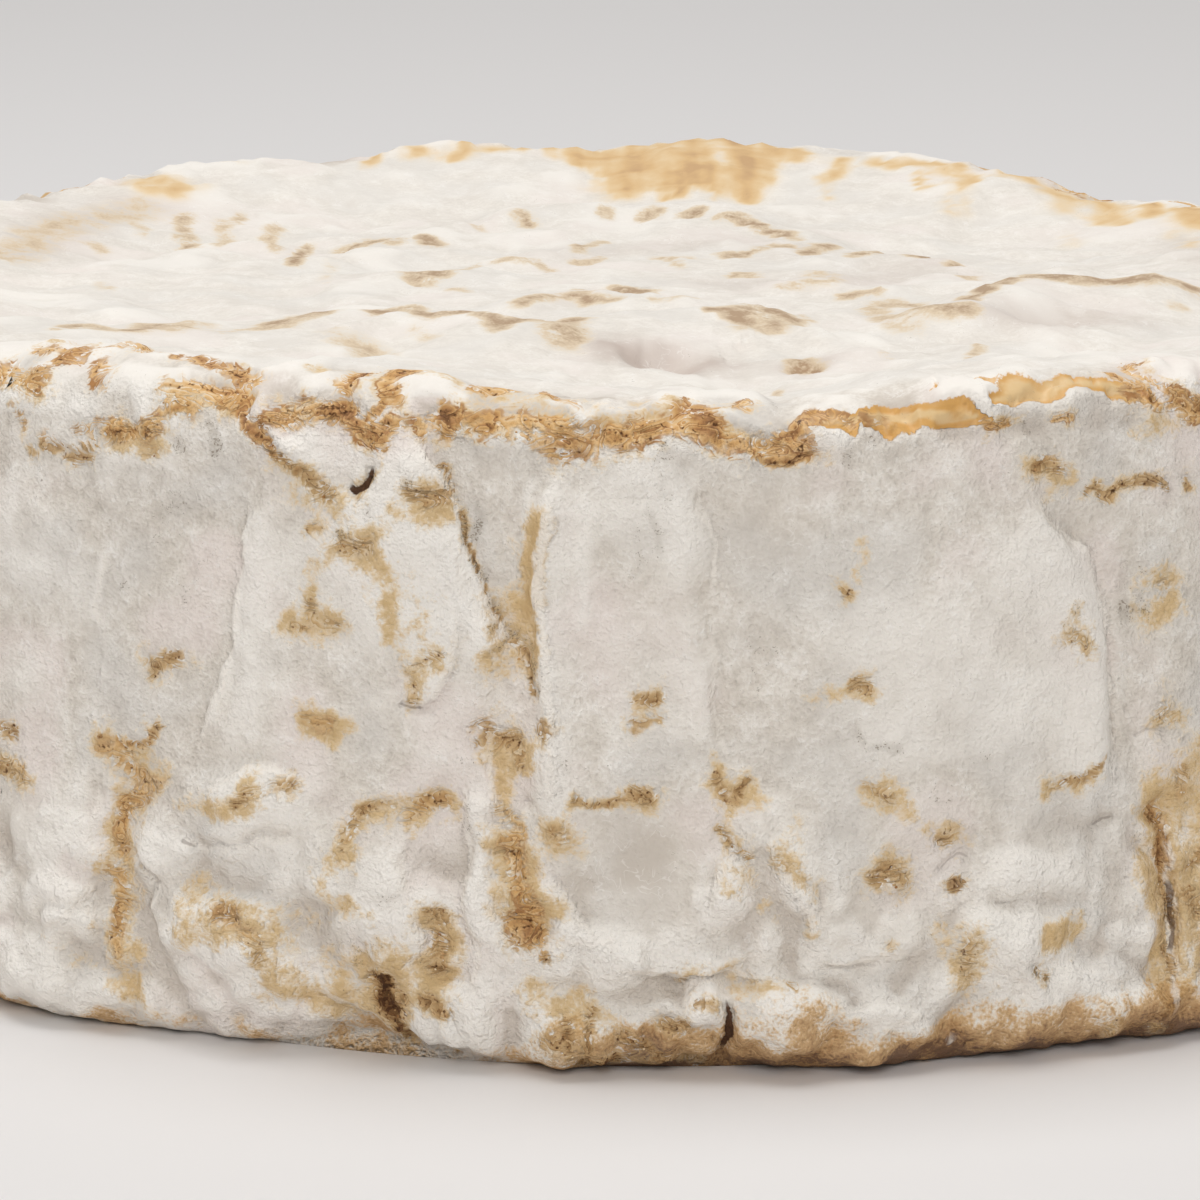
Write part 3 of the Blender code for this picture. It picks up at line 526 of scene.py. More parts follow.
WASH = [  # soft ochre that has soaked into the felt
    ([(-29.5, 30), (-28, 29.7), (-27.3, 29.8)], 0.7, 0.6),
    ([(-26.5, 32.5), (-25, 32.8), (-23.2, 32.4)], 0.8, 0.5), ([(-38, 36.6), (-36, 37)], 0.8, 0.6),
    ([(-19.6, 29.7), (-18.2, 28.8), (-17.2, 28.2)], 0.8, 0.5), ([(-19, 35.4), (-17, 35.8)], 0.6, 0.4),
    ([(-12, 35.8), (-11, 35.2)], 0.5, 0.4), ([(-9.2, 33.8), (-7.5, 33.8), (-6, 33.5)], 0.9, 0.3),
    ([(-9.3, 32), (-6.5, 32.1), (-4.9, 32.2)], 0.6, 0.5),
    ([(-3.4, 34.4), (-2, 34.8), (-0.5, 34.6)], 0.5, 0.45),
    ([(-2.6, 32.3), (-0.4, 32.6), (1.4, 32.6)], 0.6, 0.5), ([(3.6, 31.9), (5.2, 31.4)], 0.4, 0.5),
    ([(-29.6, 12.2), (-29.4, 10.2), (-29.6, 7.4), (-29.8, 5.4)], 1.1, 0.45),
    ([(-30.2, 14.8), (-28.4, 14.2), (-27.6, 13.4)], 1, 0.4),
    ([(-28.4, 4.4), (-28.2, 3.2), (-28.3, 2.2)], 0.8, 0.5),
    ([(-24.8, 12.3), (-23.2, 12.9), (-21.6, 13.2)], 0.9, 0.5),
    ([(-25.2, 6), (-24, 6.2), (-23.2, 6.8)], 0.8, 0.5), ([(-21.6, 6.8), (-20.4, 5.4)], 1, 0.4),
    ([(-25, 8.6), (-25, 7.6)], 0.9, 0.3), ([(-12.2, 27.8), (-11, 27.6)], 0.7, 0.65),
    ([(-16.4, 25.9), (-15.4, 25.8), (-14.6, 26.3)], 0.9, 0.5),
    ([(-14.6, 26.6), (-14.3, 24.4), (-13.8, 22.8), (-13.6, 21.6)], 0.65, 0.55),
    ([(-17.9, 24.8), (-18, 22.6)], 0.5, 0.45), ([(-18.9, 21.8), (-17.6, 22), (-16.5, 21.9)], 0.6, 0.5),
    ([(-12.5, 23.4), (-11.6, 21.6)], 1.6, 0.22), ([(-12.5, 19.9), (-12.6, 18.4)], 0.5, 0.4),
    ([(-5.5, 27.8), (-5.8, 26), (-6, 24.5), (-6.1, 23), (-6, 21)], 0.7, 0.85),
    ([(-6.9, 23.5), (-6.7, 21)], 1, 0.35), ([(-8.1, 20.6), (-7.9, 20)], 0.7, 0.45),
    ([(-7.7, 16.6), (-7.5, 15), (-7.6, 13.8)], 0.6, 0.6), ([(-6.4, 16.4), (-6.2, 15.6)], 0.6, 0.5),
    ([(-5.7, 17.7), (-5.6, 17)], 0.5, 0.45), ([(-8.6, 11.8), (-7.6, 11.4)], 0.7, 0.4),
    ([(-7, 10.8), (-6.5, 9), (-5.8, 8.6)], 0.95, 0.85), ([(-4.9, 12.6), (-4.5, 12)], 0.8, 0.5),
    ([(-3.8, 13.9), (-1.4, 14), (-0.1, 14.2)], 0.5, 0.45), ([(-18.2, 17.4), (-16.4, 17)], 0.8, 0.7),
    ([(-11, 13.3), (-12.4, 13.3)], 0.8, 0.5),
    ([(-13.6, 13.5), (-15.6, 13.1), (-16.2, 12), (-16, 11), (-16.3, 10.2)], 0.6, 0.55),
    ([(-15.4, 11.2), (-15.2, 10.2)], 0.5, 0.45), ([(-17, 9), (-16.6, 8.6)], 0.6, 0.45),
    ([(-16.4, 8.4), (-14.6, 7.8)], 0.5, 0.3),
    ([(-11.3, 7.3), (-11.4, 6.2), (-11.4, 5.2), (-11.2, 4.5)], 0.85, 0.8),
    ([(-16.6, 5), (-16.6, 3.4)], 1, 0.4), ([(-14.6, 5.4), (-13.4, 5.2), (-13, 3.6)], 1, 0.45),
    ([(-19, 4), (-18.9, 2.8)], 0.7, 0.4), ([(-20.5, 7), (-18.5, 7.4)], 1.2, 0.2),
    ([(-6.6, 4.3), (-5, 4)], 0.9, 0.4), ([(-4.4, 3.4), (-3, 3)], 0.8, 0.35),
    ([(-0.6, 18.6), (0.4, 18.6)], 0.7, 0.5), ([(5, 14.6), (5.4, 14.4)], 0.7, 0.35),
    ([(3.2, 15.8), (3.5, 15.2)], 0.5, 0.5), ([(3.4, 12.8), (4.2, 11.8)], 0.5, 0.55),
    ([(6.6, 11.4), (7.6, 10.6), (8.2, 10)], 0.7, 0.45), ([(7.4, 13.6), (7.6, 12.4)], 0.5, 0.3),
    ([(7.8, 8), (8.2, 7.4)], 0.4, 0.4), ([(4, 10.2), (4.5, 9.8)], 0.5, 0.35),
    ([(5.8, 8.8), (6.1, 8.4)], 0.4, 0.4), ([(2, 5.7), (4, 5.5), (6, 5.1)], 0.6, 0.4),
    ([(7.8, 19.3), (9.4, 19.2), (11.4, 19.3)], 0.4, 0.4), ([(9.9, 24.6), (10.2, 23.6)], 0.5, 0.3),
    ([(10.4, 26.2), (10.4, 25.4)], 0.5, 0.3), ([(12, 13.2), (13.4, 12.6), (14.6, 12.4)], 0.5, 0.4),
    ([(11.4, 14.6), (12, 13.8)], 0.6, 0.4), ([(15.2, 12.3), (15.7, 11.4)], 0.7, 0.5),
    ([(12, 10), (12.9, 10)], 0.85, 0.5), ([(16, 6.6), (16.4, 5.2)], 1.2, 0.45),
    ([(21.2, 6.5), (22.3, 6.3)], 0.9, 0.65), ([(21, 29), (21.6, 29)], 0.8, 0.45),
    ([(23.8, 27.8), (25.2, 27.6)], 0.5, 0.4), ([(28.2, 23.4), (28.7, 22.6), (28, 21.8)], 1.1, 0.4),
    ([(22.8, 22.4), (22.9, 20.6)], 0.7, 0.3), ([(28.2, 16.7), (29, 16.2)], 0.9, 0.35),
    ([(21, 14), (24, 14.3)], 0.5, 0.35), ([(28.2, 11.8), (28.3, 9)], 0.9, 0.5),
    ([(27, 8.6), (27, 7.6)], 0.7, 0.45), ([(27.4, 4.4), (28, 3)], 0.7, 0.45),
    ([(30, 14.4), (31, 13.4), (31, 11)], 0.9, 0.4), ([(30.5, 8), (31, 6)], 1.2, 0.35),
    ([(28.4, 8), (28.8, 5), (28.6, 3)], 0.9, 0.4), ([(18.5, 31.6), (19.4, 31.8)], 0.5, 0.5),
    ([(27.3, 31.3), (28.6, 30.6)], 0.7, 0.4), ([(29, 12), (30, 9), (31, 6), (32, 3)], 2.2, 0.4),
    ([(28.4, 9), (28.6, 5)], 1.2, 0.45), ([(-20.4, 3.4), (-17.4, 3), (-15.4, 2.6)], 1, 0.4),
    ([(-33, 4.4), (-31, 3.6), (-29, 3)], 0.9, 0.3),
]
GRIME = [  # clusters of grey-green specks
    ([(-26.5, 30.2), (-26.3, 30.2)], 0.4, 1), ([(-26.1, 29.8), (-25.8, 29.3)], 0.4, 1.1),
    ([(-25.8, 28.2), (-26, 27.4), (-26.5, 27)], 0.5, 0.9), ([(-25.6, 26.3)], 0.5, 0.6),
    ([(-27, 25.5)], 0.6, 0.6), ([(-29.4, 22.8), (-29.4, 22.5)], 0.4, 0.8),
    ([(-25.2, 22.8), (-24.8, 22)], 0.5, 0.6), ([(-23.8, 24)], 0.4, 0.6),
    ([(-24.2, 31), (-23.7, 30.5)], 0.35, 1.3), ([(-35.5, 32.7), (-34.8, 33.2)], 0.6, 0.6),
    ([(-30.6, 31.7)], 0.35, 0.9), ([(-35.2, 14), (-34, 13.9)], 0.3, 0.8),
    ([(-27.6, 19.1)], 0.35, 1), ([(-14.8, 28)], 0.35, 0.9),
    ([(-12.6, 29.3), (-12.6, 28.8)], 0.35, 1.1), ([(-17, 26.6), (-16.6, 26.4)], 0.3, 1),
    ([(-13.2, 22.3), (-12.7, 22.3)], 0.35, 0.8), ([(-11.9, 30.9)], 0.3, 1),
    ([(-10.9, 29.2)], 0.3, 1.1), ([(-9.8, 27.6)], 0.35, 1.2), ([(-9.6, 26.8), (-9.4, 26)], 0.35, 1.2),
    ([(-9.1, 25.5), (-8.8, 24.4)], 0.35, 1.4), ([(-8.6, 27.9), (-8.6, 26.8)], 0.4, 1.1),
    ([(-8.2, 23.1), (-7.7, 22.6)], 0.35, 1.3),
    ([(-7.5, 21.2), (-6.9, 20.6), (-6.5, 19.9), (-6.5, 19.3)], 0.4, 1.2), ([(-6, 20.8)], 0.3, 1),
    ([(-5.8, 19.2)], 0.3, 0.9), ([(-9.4, 16), (-8.8, 15.5)], 0.4, 0.8),
    ([(-9.8, 13.4), (-9.9, 12.2)], 0.4, 0.7), ([(-4.6, 15.6)], 0.4, 0.8), ([(-5.1, 29)], 0.3, 1),
    ([(-11.8, 5.4), (-11.2, 5.6)], 0.35, 0.9), ([(-14, 8.8), (-13.4, 8.7)], 0.5, 0.7),
    ([(-16.8, 6.4), (-15.4, 5.6)], 0.9, 0.6), ([(0.4, 31), (0.8, 30.7)], 0.5, 0.9),
    ([(0.3, 28.2), (0.2, 27.2)], 0.5, 1), ([(0.7, 29.2)], 0.4, 0.7),
    ([(-1, 27.5), (-0.5, 25.6)], 0.5, 0.6), ([(4.6, 22), (4.9, 21.2)], 0.6, 0.8),
    ([(4.6, 20)], 0.5, 0.7), ([(6.2, 34.6), (6.6, 33.8)], 0.4, 0.7),
    ([(9.7, 30.4), (10.1, 30.6)], 0.35, 1.3), ([(11.1, 31.3)], 0.3, 1.1),
    ([(20.4, 31.4), (20.6, 31.2)], 0.35, 1.1), ([(12.2, 23.3)], 0.3, 0.8),
    ([(9.4, 21.4), (9.8, 21.2)], 0.6, 0.6), ([(10.5, 17.2), (11.6, 17), (12.6, 17.2)], 0.35, 1.1),
    ([(5.2, 17.2)], 0.4, 0.7), ([(14.4, 14.2), (14.8, 14.1)], 0.5, 0.6),
    ([(18.2, 11.4), (18.6, 11.1)], 0.6, 0.6), ([(22.6, 22.6), (22.8, 22)], 0.45, 0.9),
    ([(26.6, 24.4), (26.8, 24)], 0.35, 1), ([(26.5, 23.6), (26.4, 23)], 0.35, 0.9),
    ([(26.8, 22.1), (26.6, 21.6)], 0.4, 1.2), ([(25.7, 21.1)], 0.3, 1),
    ([(19.2, 21.6), (19, 23)], 0.5, 0.5), ([(26.7, 13.6)], 0.5, 0.7), ([(26.5, 10.8)], 0.4, 0.8),
    ([(17.4, 15.2)], 0.5, 0.7),
]
CLEFTS = [  # thin dark gaps where the skin has parted, with their half widths in mm
    ([(-16.1, 29), (-15.6, 28.65), (-15, 28.85), (-14.7, 29.5), (-14.8, 30)], 0.14),
    ([(-13.3, 18.4), (-12.6, 18.2), (-11.9, 18.2)], 0.07), ([(-11.8, 13.9), (-11, 14.3)], 0.05),
    ([(-6.8, 13.8), (-6, 13.9)], 0.05), ([(-8.4, 11.2), (-7.5, 11.4)], 0.06),
    ([(-25.7, 10.6), (-24.7, 10.3)], 0.07), ([(3.75, 4.6), (3.9, 3.4), (3.95, 2.2), (3.7, 0.6)], 0.14),
    ([(2.4, 7.8), (3.4, 6.9)], 0.04), ([(3.2, 10.6), (3, 9.4), (2.9, 8.6)], 0.05),
    ([(23.9, 11.5), (24.6, 11.8), (25.3, 11.9)], 0.07),
    ([(26.4, 15.7), (27.3, 16), (28, 15.9), (28.6, 15.6)], 0.05),
    ([(14.7, 10), (15.5, 10.7), (16, 10.9), (16.7, 10.6)], 0.06),
    ([(28.9, 8.4), (28.7, 7), (28.8, 5.8), (28.6, 4.4)], 0.1), ([(-10.5, 3.3), (-9.7, 1.9)], 0.06),
    ([(-28.8, 9.6), (-27.8, 8.8), (-27.2, 8)], 0.04), ([(-0.2, 20.8), (1, 21), (2.2, 20.9)], 0.03),
    ([(8.1, 5.5), (9.4, 5.6), (10.2, 5.8)], 0.04),
]
AMBER = [  # bare paste: its middle line, with a half width at each point
    ([(7.9, 32.2, 0.2), (8.5, 32.4, 0.6), (9.3, 32.4, 0.65), (10.1, 32.1, 0.3), (11.2, 32.8, 0.9),
      (12.4, 32.5, 0.75), (13.6, 32.4, 0.75), (15, 32.6, 1), (16.5, 32.2, 0.45), (17.7, 31.7, 0.15)],
      1), ([(14.8, 34.4, 0.2), (16.2, 34.9, 0.35), (17.6, 35.1, 0.4), (18.6, 34.2, 0.6)], 0.6),
    ([(18.3, 33.3, 0.5), (20, 33.6, 1.1), (22, 33.6, 1.35), (24, 33.6, 0.9), (25.4, 33.2, 1.1),
      (26.8, 33, 0.9), (27.5, 32.2, 0.2)], 0.75), ([(-7, 11.2, 0.25), (-6.7, 9.6, 0.3)], 0.7),
]
SLEEK_AND_SHADE = [  # skin worn smooth and grey, and painted shade: middle, half width, half height, strength, lean
    ((-0.6, 10.3), 4.4, 4.2, 1, 0), ((5.6, 27.6), 2.6, 2.6, 0.6, 0),
    ((12, 7.6), 3.4, 2.2, 0.6, 0), ((-9, 30.2), 2, 1.8, 0.5, 0),
    ((25, 26), 2.4, 1.4, 0.5, -30), ((-36.5, 10.5), 3, 3, 0.6, 0),
    ((5.8, 13), 1.3, 2, 0.6, 30), ((20, 12.6), 2.6, 1.4, 0.4, 0),
    # the broad patches at (13, 19), (22.5, 20) and (2, 22) are painted shade over the middle and right
    # of the front wall
    ((1.9, 22), 1.2, 7, 0.35, 0), ((13, 19), 9, 11, 0.25, 0),
    ((22.5, 20), 6, 9, 0.2, 0), ((2, 22), 5, 10, 0.2, 0),
]
TOAST_AND_FOOT_SHADE = [  # the browned foot, darkest at the board partly as painted shade: (angle, how high it reaches in mm, strength)
    (-38, 1.6, 0.3), (-30, 1.4, 0.3), (-24, 1.2, 0.25), (-19, 1.8, 0.3), (-15, 3, 0.45),
      (-12, 1.8, 0.35),
    (-8, 1.6, 0.35), (-5, 3, 0.95), (0, 3.4, 1.25), (3, 2.8, 1.05), (4.5, 4.4, 0.95), (8, 4.8, 1),
    (11, 2.6, 1.1), (14, 2.6, 1.05), (17, 3.2, 1.1), (20, 2.9, 1.1), (24, 2.9, 1.1), (28, 4.2, 1.15),
    (33, 4.2, 0.95),
]
TOAST_BEHIND = 3.4
TOAST_WAVES = [(7, 1.1, 0.0), (17, 0.5, 50.0)]
SCORCH_AND_SHADE_BEHIND = 0.55
TOP_CRUST = [  # the far rim's crust, from the left, as (x, y) places in mm
    ([(-43, 30), (-40, 33), (-37, 35.5)], 1, 0.5), ([(-33, 37), (-31.5, 34), (-30.5, 33)], 1.6, 0.75),
    ([(-27.5, 42), (-27, 40.5)], 0.6, 0.5), ([(-18.5, 46), (-18.5, 43)], 0.7, 0.8),
    ([(-15.5, 48), (-15, 45.5)], 0.9, 0.9), ([(-12.5, 45), (-12, 48)], 1, 0.95),
    ([(-10, 48), (-8.5, 48)], 0.9, 0.8), ([(-5, 48), (-3.5, 45), (-2.5, 42.5)], 0.9, 1),
    ([(-4, 47), (-2.5, 47)], 1.4, 0.9), ([(-2, 45), (-1.5, 42)], 0.8, 0.7),
    # the soaked band at the back
    ([(-0.5, 49), (-1, 42.5), (-1, 38)], 1.5, 1), ([(0.5, 50), (4.5, 50), (8.5, 49.5)], 1.3, 0.95),
    ([(1, 49), (1, 40.5)], 1.8, 0.9), ([(2.3, 48), (2, 39)], 1.5, 0.9),
    ([(2.5, 45), (2.5, 36)], 0.5, 1.15), ([(3.8, 48), (3.5, 40)], 1.8, 0.9),
    ([(5, 48), (4.5, 39.5)], 1.5, 0.9), ([(5.5, 44), (5, 36)], 0.5, 1.15),
    ([(7, 48), (6.5, 39.5)], 1.3, 0.95), ([(8, 48), (7.5, 38)], 1.5, 1),
    ([(8.2, 42), (7.6, 36)], 0.8, 0.95), ([(9.2, 46), (8.5, 41.5)], 0.9, 0.7),
    ([(10, 46.5), (11.5, 45.5)], 1.1, 0.7),
    # right of it
    ([(14, 45), (13.5, 40.5)], 0.6, 0.9), ([(13, 39.5), (13, 36.5)], 0.5, 0.45),
    ([(16.5, 45), (17.5, 44.5), (18.5, 43.5)], 0.9, 0.6), ([(20, 44.5), (21, 42.5)], 1, 0.95),
    ([(19.5, 40.5), (19.5, 38)], 0.5, 0.6), ([(21.5, 42), (22, 39), (21, 35.5), (21, 32)], 0.8, 0.65),
    ([(25.5, 41.5), (25.5, 39.5)], 0.9, 0.75), ([(27, 40.5), (28.2, 39)], 1.1, 1.2),
    ([(28.5, 38.5), (30, 37)], 0.8, 0.85), ([(28, 36), (28, 33.5)], 1.5, 0.4),
    ([(30, 36), (31, 35), (32, 35)], 1.3, 1), ([(31, 33.5), (31, 30.5)], 1, 0.8),
    ([(32, 29), (33, 30), (34, 31.5)], 0.9, 0.8), ([(34, 33.5), (34.5, 31)], 0.7, 0.9),
    ([(36.5, 31), (36.5, 27)], 1.4, 1), ([(35, 24.5), (35, 17)], 0.8, 0.4),
    ([(28, 28.5), (27.5, 24)], 0.8, 0.3),
]
TOP_TAN = [  # soft grey-tan marks of the sunken top
    # the left of the far slope
    ([(-32.5, 28), (-34.5, 25), (-36, 22), (-37.5, 15.5), (-38.5, 8.5)], 2.4, 0.42),
    ([(-29.5, 27.5), (-29, 22.5), (-28.2, 15)], 0.8, 0.72),
    ([(-27, 27), (-26.3, 22.5), (-26.2, 18)], 0.9, 0.45), ([(-26, 29), (-26, 27)], 0.5, 0.7),
    ([(-23.5, 25), (-23.7, 21.5), (-22.8, 16.5)], 0.8, 0.62),
    ([(-21, 19.5), (-21, 16.5), (-21, 9.5)], 0.6, 0.95), ([(-32, 23.5), (-31.5, 21)], 0.7, 0.4),
    ([(-34, 16), (-33.5, 14.5)], 0.7, 0.45), ([(-32, 1), (-31.5, -0.5)], 0.9, 0.35),
    # the wrinkles in the middle
    ([(-19, 18), (-17.5, 19), (-16, 19), (-15.5, 18.5)], 0.6, 0.75),
    ([(-17, 20), (-15.5, 18.5)], 0.9, 0.75), ([(-13.6, 19.5), (-13, 18)], 0.9, 0.9),
    ([(-10.5, 25), (-10, 24)], 0.6, 0.45), ([(-7.7, 27), (-7, 26)], 0.8, 0.8),
    ([(-2.2, 29), (-2, 28)], 0.7, 0.65), ([(-19, 12), (-19, 8.5), (-19, 2)], 0.8, 0.25),
    ([(-13.8, 4), (-13, 2.5), (-12, 3.5)], 1, 0.85), ([(-12, 3.5), (-11, 6), (-10, 10)], 0.6, 0.65),
    ([(-11, -0.5), (-10.5, -1)], 0.7, 0.4),
    ([(-8.8, 10), (-7.5, 10.5), (-6.5, 10.5), (-5.5, 9)], 0.6, 0.6),
    ([(-4, 15.5), (-3.5, 17.5), (-2.5, 19.5)], 0.8, 0.65),
    ([(-4.2, 12), (-3, 12), (-2.5, 13.5)], 0.6, 0.6), ([(0.5, 28), (1.2, 28.5)], 0.8, 0.75),
    ([(3, 28), (4.2, 28.5)], 0.7, 0.8), ([(5.5, 26.5), (6.5, 26.5), (7.5, 25)], 0.7, 0.85),
    ([(7.5, 25), (8, 23.5), (9.5, 22.5)], 0.7, 0.95), ([(9.5, 22.5), (10, 21)], 0.7, 0.65),
    ([(1, 13.5), (1.5, 13), (2.5, 9.5)], 0.6, 0.5), ([(3, 13), (3.6, 13)], 0.6, 0.4),
    ([(5.5, 14.5), (6.5, 15), (7.5, 16.5)], 0.7, 0.75), ([(8.5, 18), (9.5, 17.5)], 0.6, 0.65),
    ([(10.5, 15.5), (11, 18), (12, 19)], 0.7, 0.8),
    ([(13, 11.5), (14, 12.5), (15.5, 14), (17, 12.5), (18, 11.5)], 0.7, 0.9),
    ([(18.5, 8.5), (19.5, 9.5)], 0.6, 0.65), ([(5.5, 6.5), (6.5, 7), (7, 6)], 0.6, 0.6),
    ([(10, 1), (10.8, 5), (11.3, 3.5)], 1.2, 0.5), ([(8, -2), (9, -1.5), (11, -1), (12, 1)], 0.5, 0.55),
    ([(11.5, -3.5), (12.5, -3.5), (13.5, -4)], 0.6, 0.65),
    ([(0.5, -7.5), (2, -7.5), (3.5, -6)], 0.5, 0.4),
    # the ridge across the front of the top
    ([(-31, -26), (-31, -25), (-30.5, -24), (-29.5, -24), (-29, -25), (-28.5, -26)], 0.6, 0.65),
    ([(-28, -25), (-27.5, -25.5), (-27, -24.5)], 0.8, 0.85),
    ([(-26.5, -22.5), (-26.5, -20.5), (-25.5, -23)], 1.5, 0.75),
    ([(-24.8, -21), (-23.8, -21)], 0.9, 0.45),
    ([(-23, -23.5), (-22, -22.5), (-20.5, -21), (-19, -22.5)], 0.5, 0.55),
    ([(-20, -20.5), (-18.8, -19), (-17.8, -18)], 1.4, 0.9),
    ([(-17.8, -17), (-17, -16.5), (-16.2, -16.5), (-15.5, -17), (-15, -18.5)], 0.6, 0.75),
    ([(-15, -18.5), (-14, -17.5), (-13, -17.5), (-12, -19.5), (-11, -20), (-10, -19.5), (-9.5, -20)],
      0.7, 0.95), ([(-9.5, -20), (-8.5, -22), (-8, -24)], 0.7, 0.8),
    ([(-17, -24.5), (-16.5, -26)], 1.2, 0.4), ([(-15, -26), (-14.5, -27.5), (-14, -29)], 1.5, 0.5),
    ([(-12.5, -23), (-12, -24), (-11.5, -25.5)], 1, 0.35),
    ([(-8, -24), (-7.5, -23), (-7, -22), (-6.3, -21)], 0.8, 0.85),
    ([(-5.8, -20.5), (-4.5, -20.5), (-4, -19.5)], 1.3, 0.85),
    ([(-5, -24), (-4.5, -25), (-4, -24.5)], 1.5, 0.75),
    ([(-7, -8.5), (-6.5, -7.5), (-5.5, -6.5), (-4.5, -5.5), (-3.5, -5.5), (-3, -6.5), (-2, -7),
      (-1.5, -7)], 0.6, 0.7), ([(-3.7, -2), (-3, -2), (-2.2, -4)], 0.7, 0.75),
    ([(-3.5, -6.5), (-2.5, -7)], 0.7, 0.6), ([(-1.2, -1), (-0.5, -1.5), (0, -2)], 1, 1.1),
    ([(3.5, -16), (4.5, -16.5), (5, -17)], 0.5, 0.65),
    ([(5, -17), (6, -15.5), (7, -14.5), (7.5, -14.5), (8, -15.5)], 1.1, 0.85),
    ([(5.5, -18.5), (6.5, -18.5), (7, -17.5)], 1.5, 0.65), ([(9, -14), (9.2, -15)], 0.5, 0.5),
    # the ridge on the right
    ([(13, -10), (13.5, -8), (14.5, -7.5), (15, -8.5)], 1.2, 0.6),
    ([(13, -12), (14, -14.5), (15, -15.5)], 1.4, 0.5),
    ([(15, -13), (15.5, -15.5), (16, -16.5), (17, -17), (18, -16.5)], 0.9, 0.7),
    ([(13.5, -16), (14, -18), (15, -18.5)], 1, 0.35),
    ([(18, -12.5), (19, -10), (19.6, -7.5)], 0.7, 0.9),
    ([(19.6, -7.5), (20.6, -5), (21.8, -3.5)], 0.9, 0.9),
    ([(21.8, -3.5), (22.8, -3), (23.4, -3.2)], 1, 0.9),
    ([(24.5, -3.2), (25.2, -3), (26, -3.5)], 1.3, 0.9),
    ([(26, -3.5), (26.6, -3.8), (27.2, -4)], 0.8, 0.75),
    ([(27.8, -4.5), (28.6, -4), (29.2, -5)], 1.3, 0.85),
    ([(29.8, -4.8), (30.5, -4.8), (31.2, -5)], 0.7, 0.6),
    ([(31.4, -5.5), (32.4, -6), (33.5, -7)], 1, 0.8), ([(19.5, 4), (20, 4.5)], 0.9, 0.65),
    ([(30, -9.5), (30.5, -9.5)], 0.8, 0.35),
    # small marks near the front
    ([(7.9, -28), (8.5, -29.5)], 1, 1), ([(12.5, -27.5), (12.5, -29)], 0.6, 0.6),
    ([(17, -28.5), (17.5, -26), (18, -23)], 0.6, 0.5), ([(6.5, -36), (6.5, -42)], 0.5, 0.5),
]
TOP_HOLLOW_SHADE = [  # painted grey-mauve shade in the hollows of the top
    ([(-0.8, -26.5), (2.2, -27)], 2.6, 0.9), ([(8.3, -29)], 1.6, 0.8),
    ([(20.5, -16), (25, -14)], 3, 0.55), ([(-38.5, 10), (-36, 22), (-33, 29)], 2.6, 0.4),
    ([(4, 2), (12, 2), (16, 8)], 3, 0.3), ([(-6, 14), (6, 20), (12, 14)], 2.4, 0.25),
    ([(34, 10), (34.5, 22)], 2.4, 0.3),
]
STAIN_SEED = 11


def hidden_stains():
    """Crusts, washes, specks and bare paste for the sides and the back, sized as the front's are."""
    draw = random.Random(STAIN_SEED)
    crust, wash, grime, amber = [], [], [], []
    angle = FRONT_TO + 1.5
    while angle < 360.0 + FRONT_FROM - 1.5:
        step = draw.uniform(3.0, 6.5)
        if draw.random() < 0.28:
            line, at, middle = [], angle, draw.uniform(32.4, 33.6)
            for width in (0.2, 0.7, 1.0, 0.8, 0.2):
                line.append((at, middle + draw.uniform(-0.3, 0.3), width * draw.uniform(0.8, 1.2)))
                at += draw.uniform(1.4, 2.4)
            amber.append((line, draw.uniform(0.6, 1.0)))
            step += 4.0
        else:
            level = draw.uniform(31.2, 33.4)
            shares = (0, 0.3, 0.6, 1)
            line = [(angle + step * share, level + draw.uniform(-0.5, 0.5)) for share in shares]
            crust.append((line, draw.uniform(0.3, 0.55), draw.uniform(0.8, 1.2)))
            wash.append((line, draw.uniform(0.6, 1.0), 0.45))
            crust.append(([(a, z + 0.3) for a, z in line], 0.7, 0.6))
        angle += step
    angle = HIDDEN_FROM
    while angle < 360.0 - HIDDEN_FROM:
        top = draw.uniform(12, 20)
        line = [(angle + draw.uniform(-1, 1), top - drop) for drop in (0, 2.4, 4.8, 7.2, 9.6)]
        strength = draw.uniform(0.5, 1.0)
        wash.append((line, draw.uniform(0.6, 1.1), 0.5))
        for a, b in zip(line[:-1], line[1:]):
            crust.append(([a, b], draw.uniform(0.3, 0.6), strength * draw.uniform(0.5, 1.1)))
        for _ in range(4):
            place = (angle + draw.uniform(-6, 6), draw.uniform(6, 29))
            end = (place[0] + draw.uniform(-1.2, 1.2), place[1] + draw.uniform(-0.4, 0.4))
            crust.append(([place, end], draw.uniform(0.25, 0.5), draw.uniform(0.5, 0.9)))
            wash.append(([place, end], draw.uniform(0.5, 0.9), draw.uniform(0.2, 0.5)))
        for _ in range(4):
            place = (angle + draw.uniform(-6, 6), draw.uniform(6, 30))
            grime.append(([place], draw.uniform(0.35, 0.6), draw.uniform(0.7, 1.2)))
        angle += draw.uniform(9, 14)
    return crust, wash, grime, amber


hidden_crust, hidden_wash, hidden_grime, hidden_amber = hidden_stains()
DRIFTS = [(0.7, 1.8, 0), (0.35, 0.7, 5)]  # height, grain size in mm and seed of each layer of a noise
STROKE_REACH, STROKE_ROOM = 3.0, 1.5  # a stroke is worked out so many half widths and mm around it
OVER_THE_RIM = 36.0
TOP_MARKS_FROM, TOP_MARKS_EASE = 34.0, 1.2
PATCH_SIZE, PATCH_SEED = 1.4, 8
ORANGE_FROM, ORANGE_EASE = 29.4, 1.4
HONEY_FROM, HONEY_TO, HONEY_EASE = 4.0, 19.0, 2.0  # the angles over which the bare paste is palest


def grains(layers, places, seed=0, shape=None):
    """Layers of noise, added up, each passed through a shape where one is given."""
    noises = [(height, grain(places, size, seed + own)) for height, size, own in layers]
    return sum(height * (shape(noise) if shape else noise) for height, noise in noises)


drift = np.stack([grains(DRIFTS, form, seed) for seed in (1, 2)], -1)
patches = grain(form, PATCH_SIZE, PATCH_SEED)


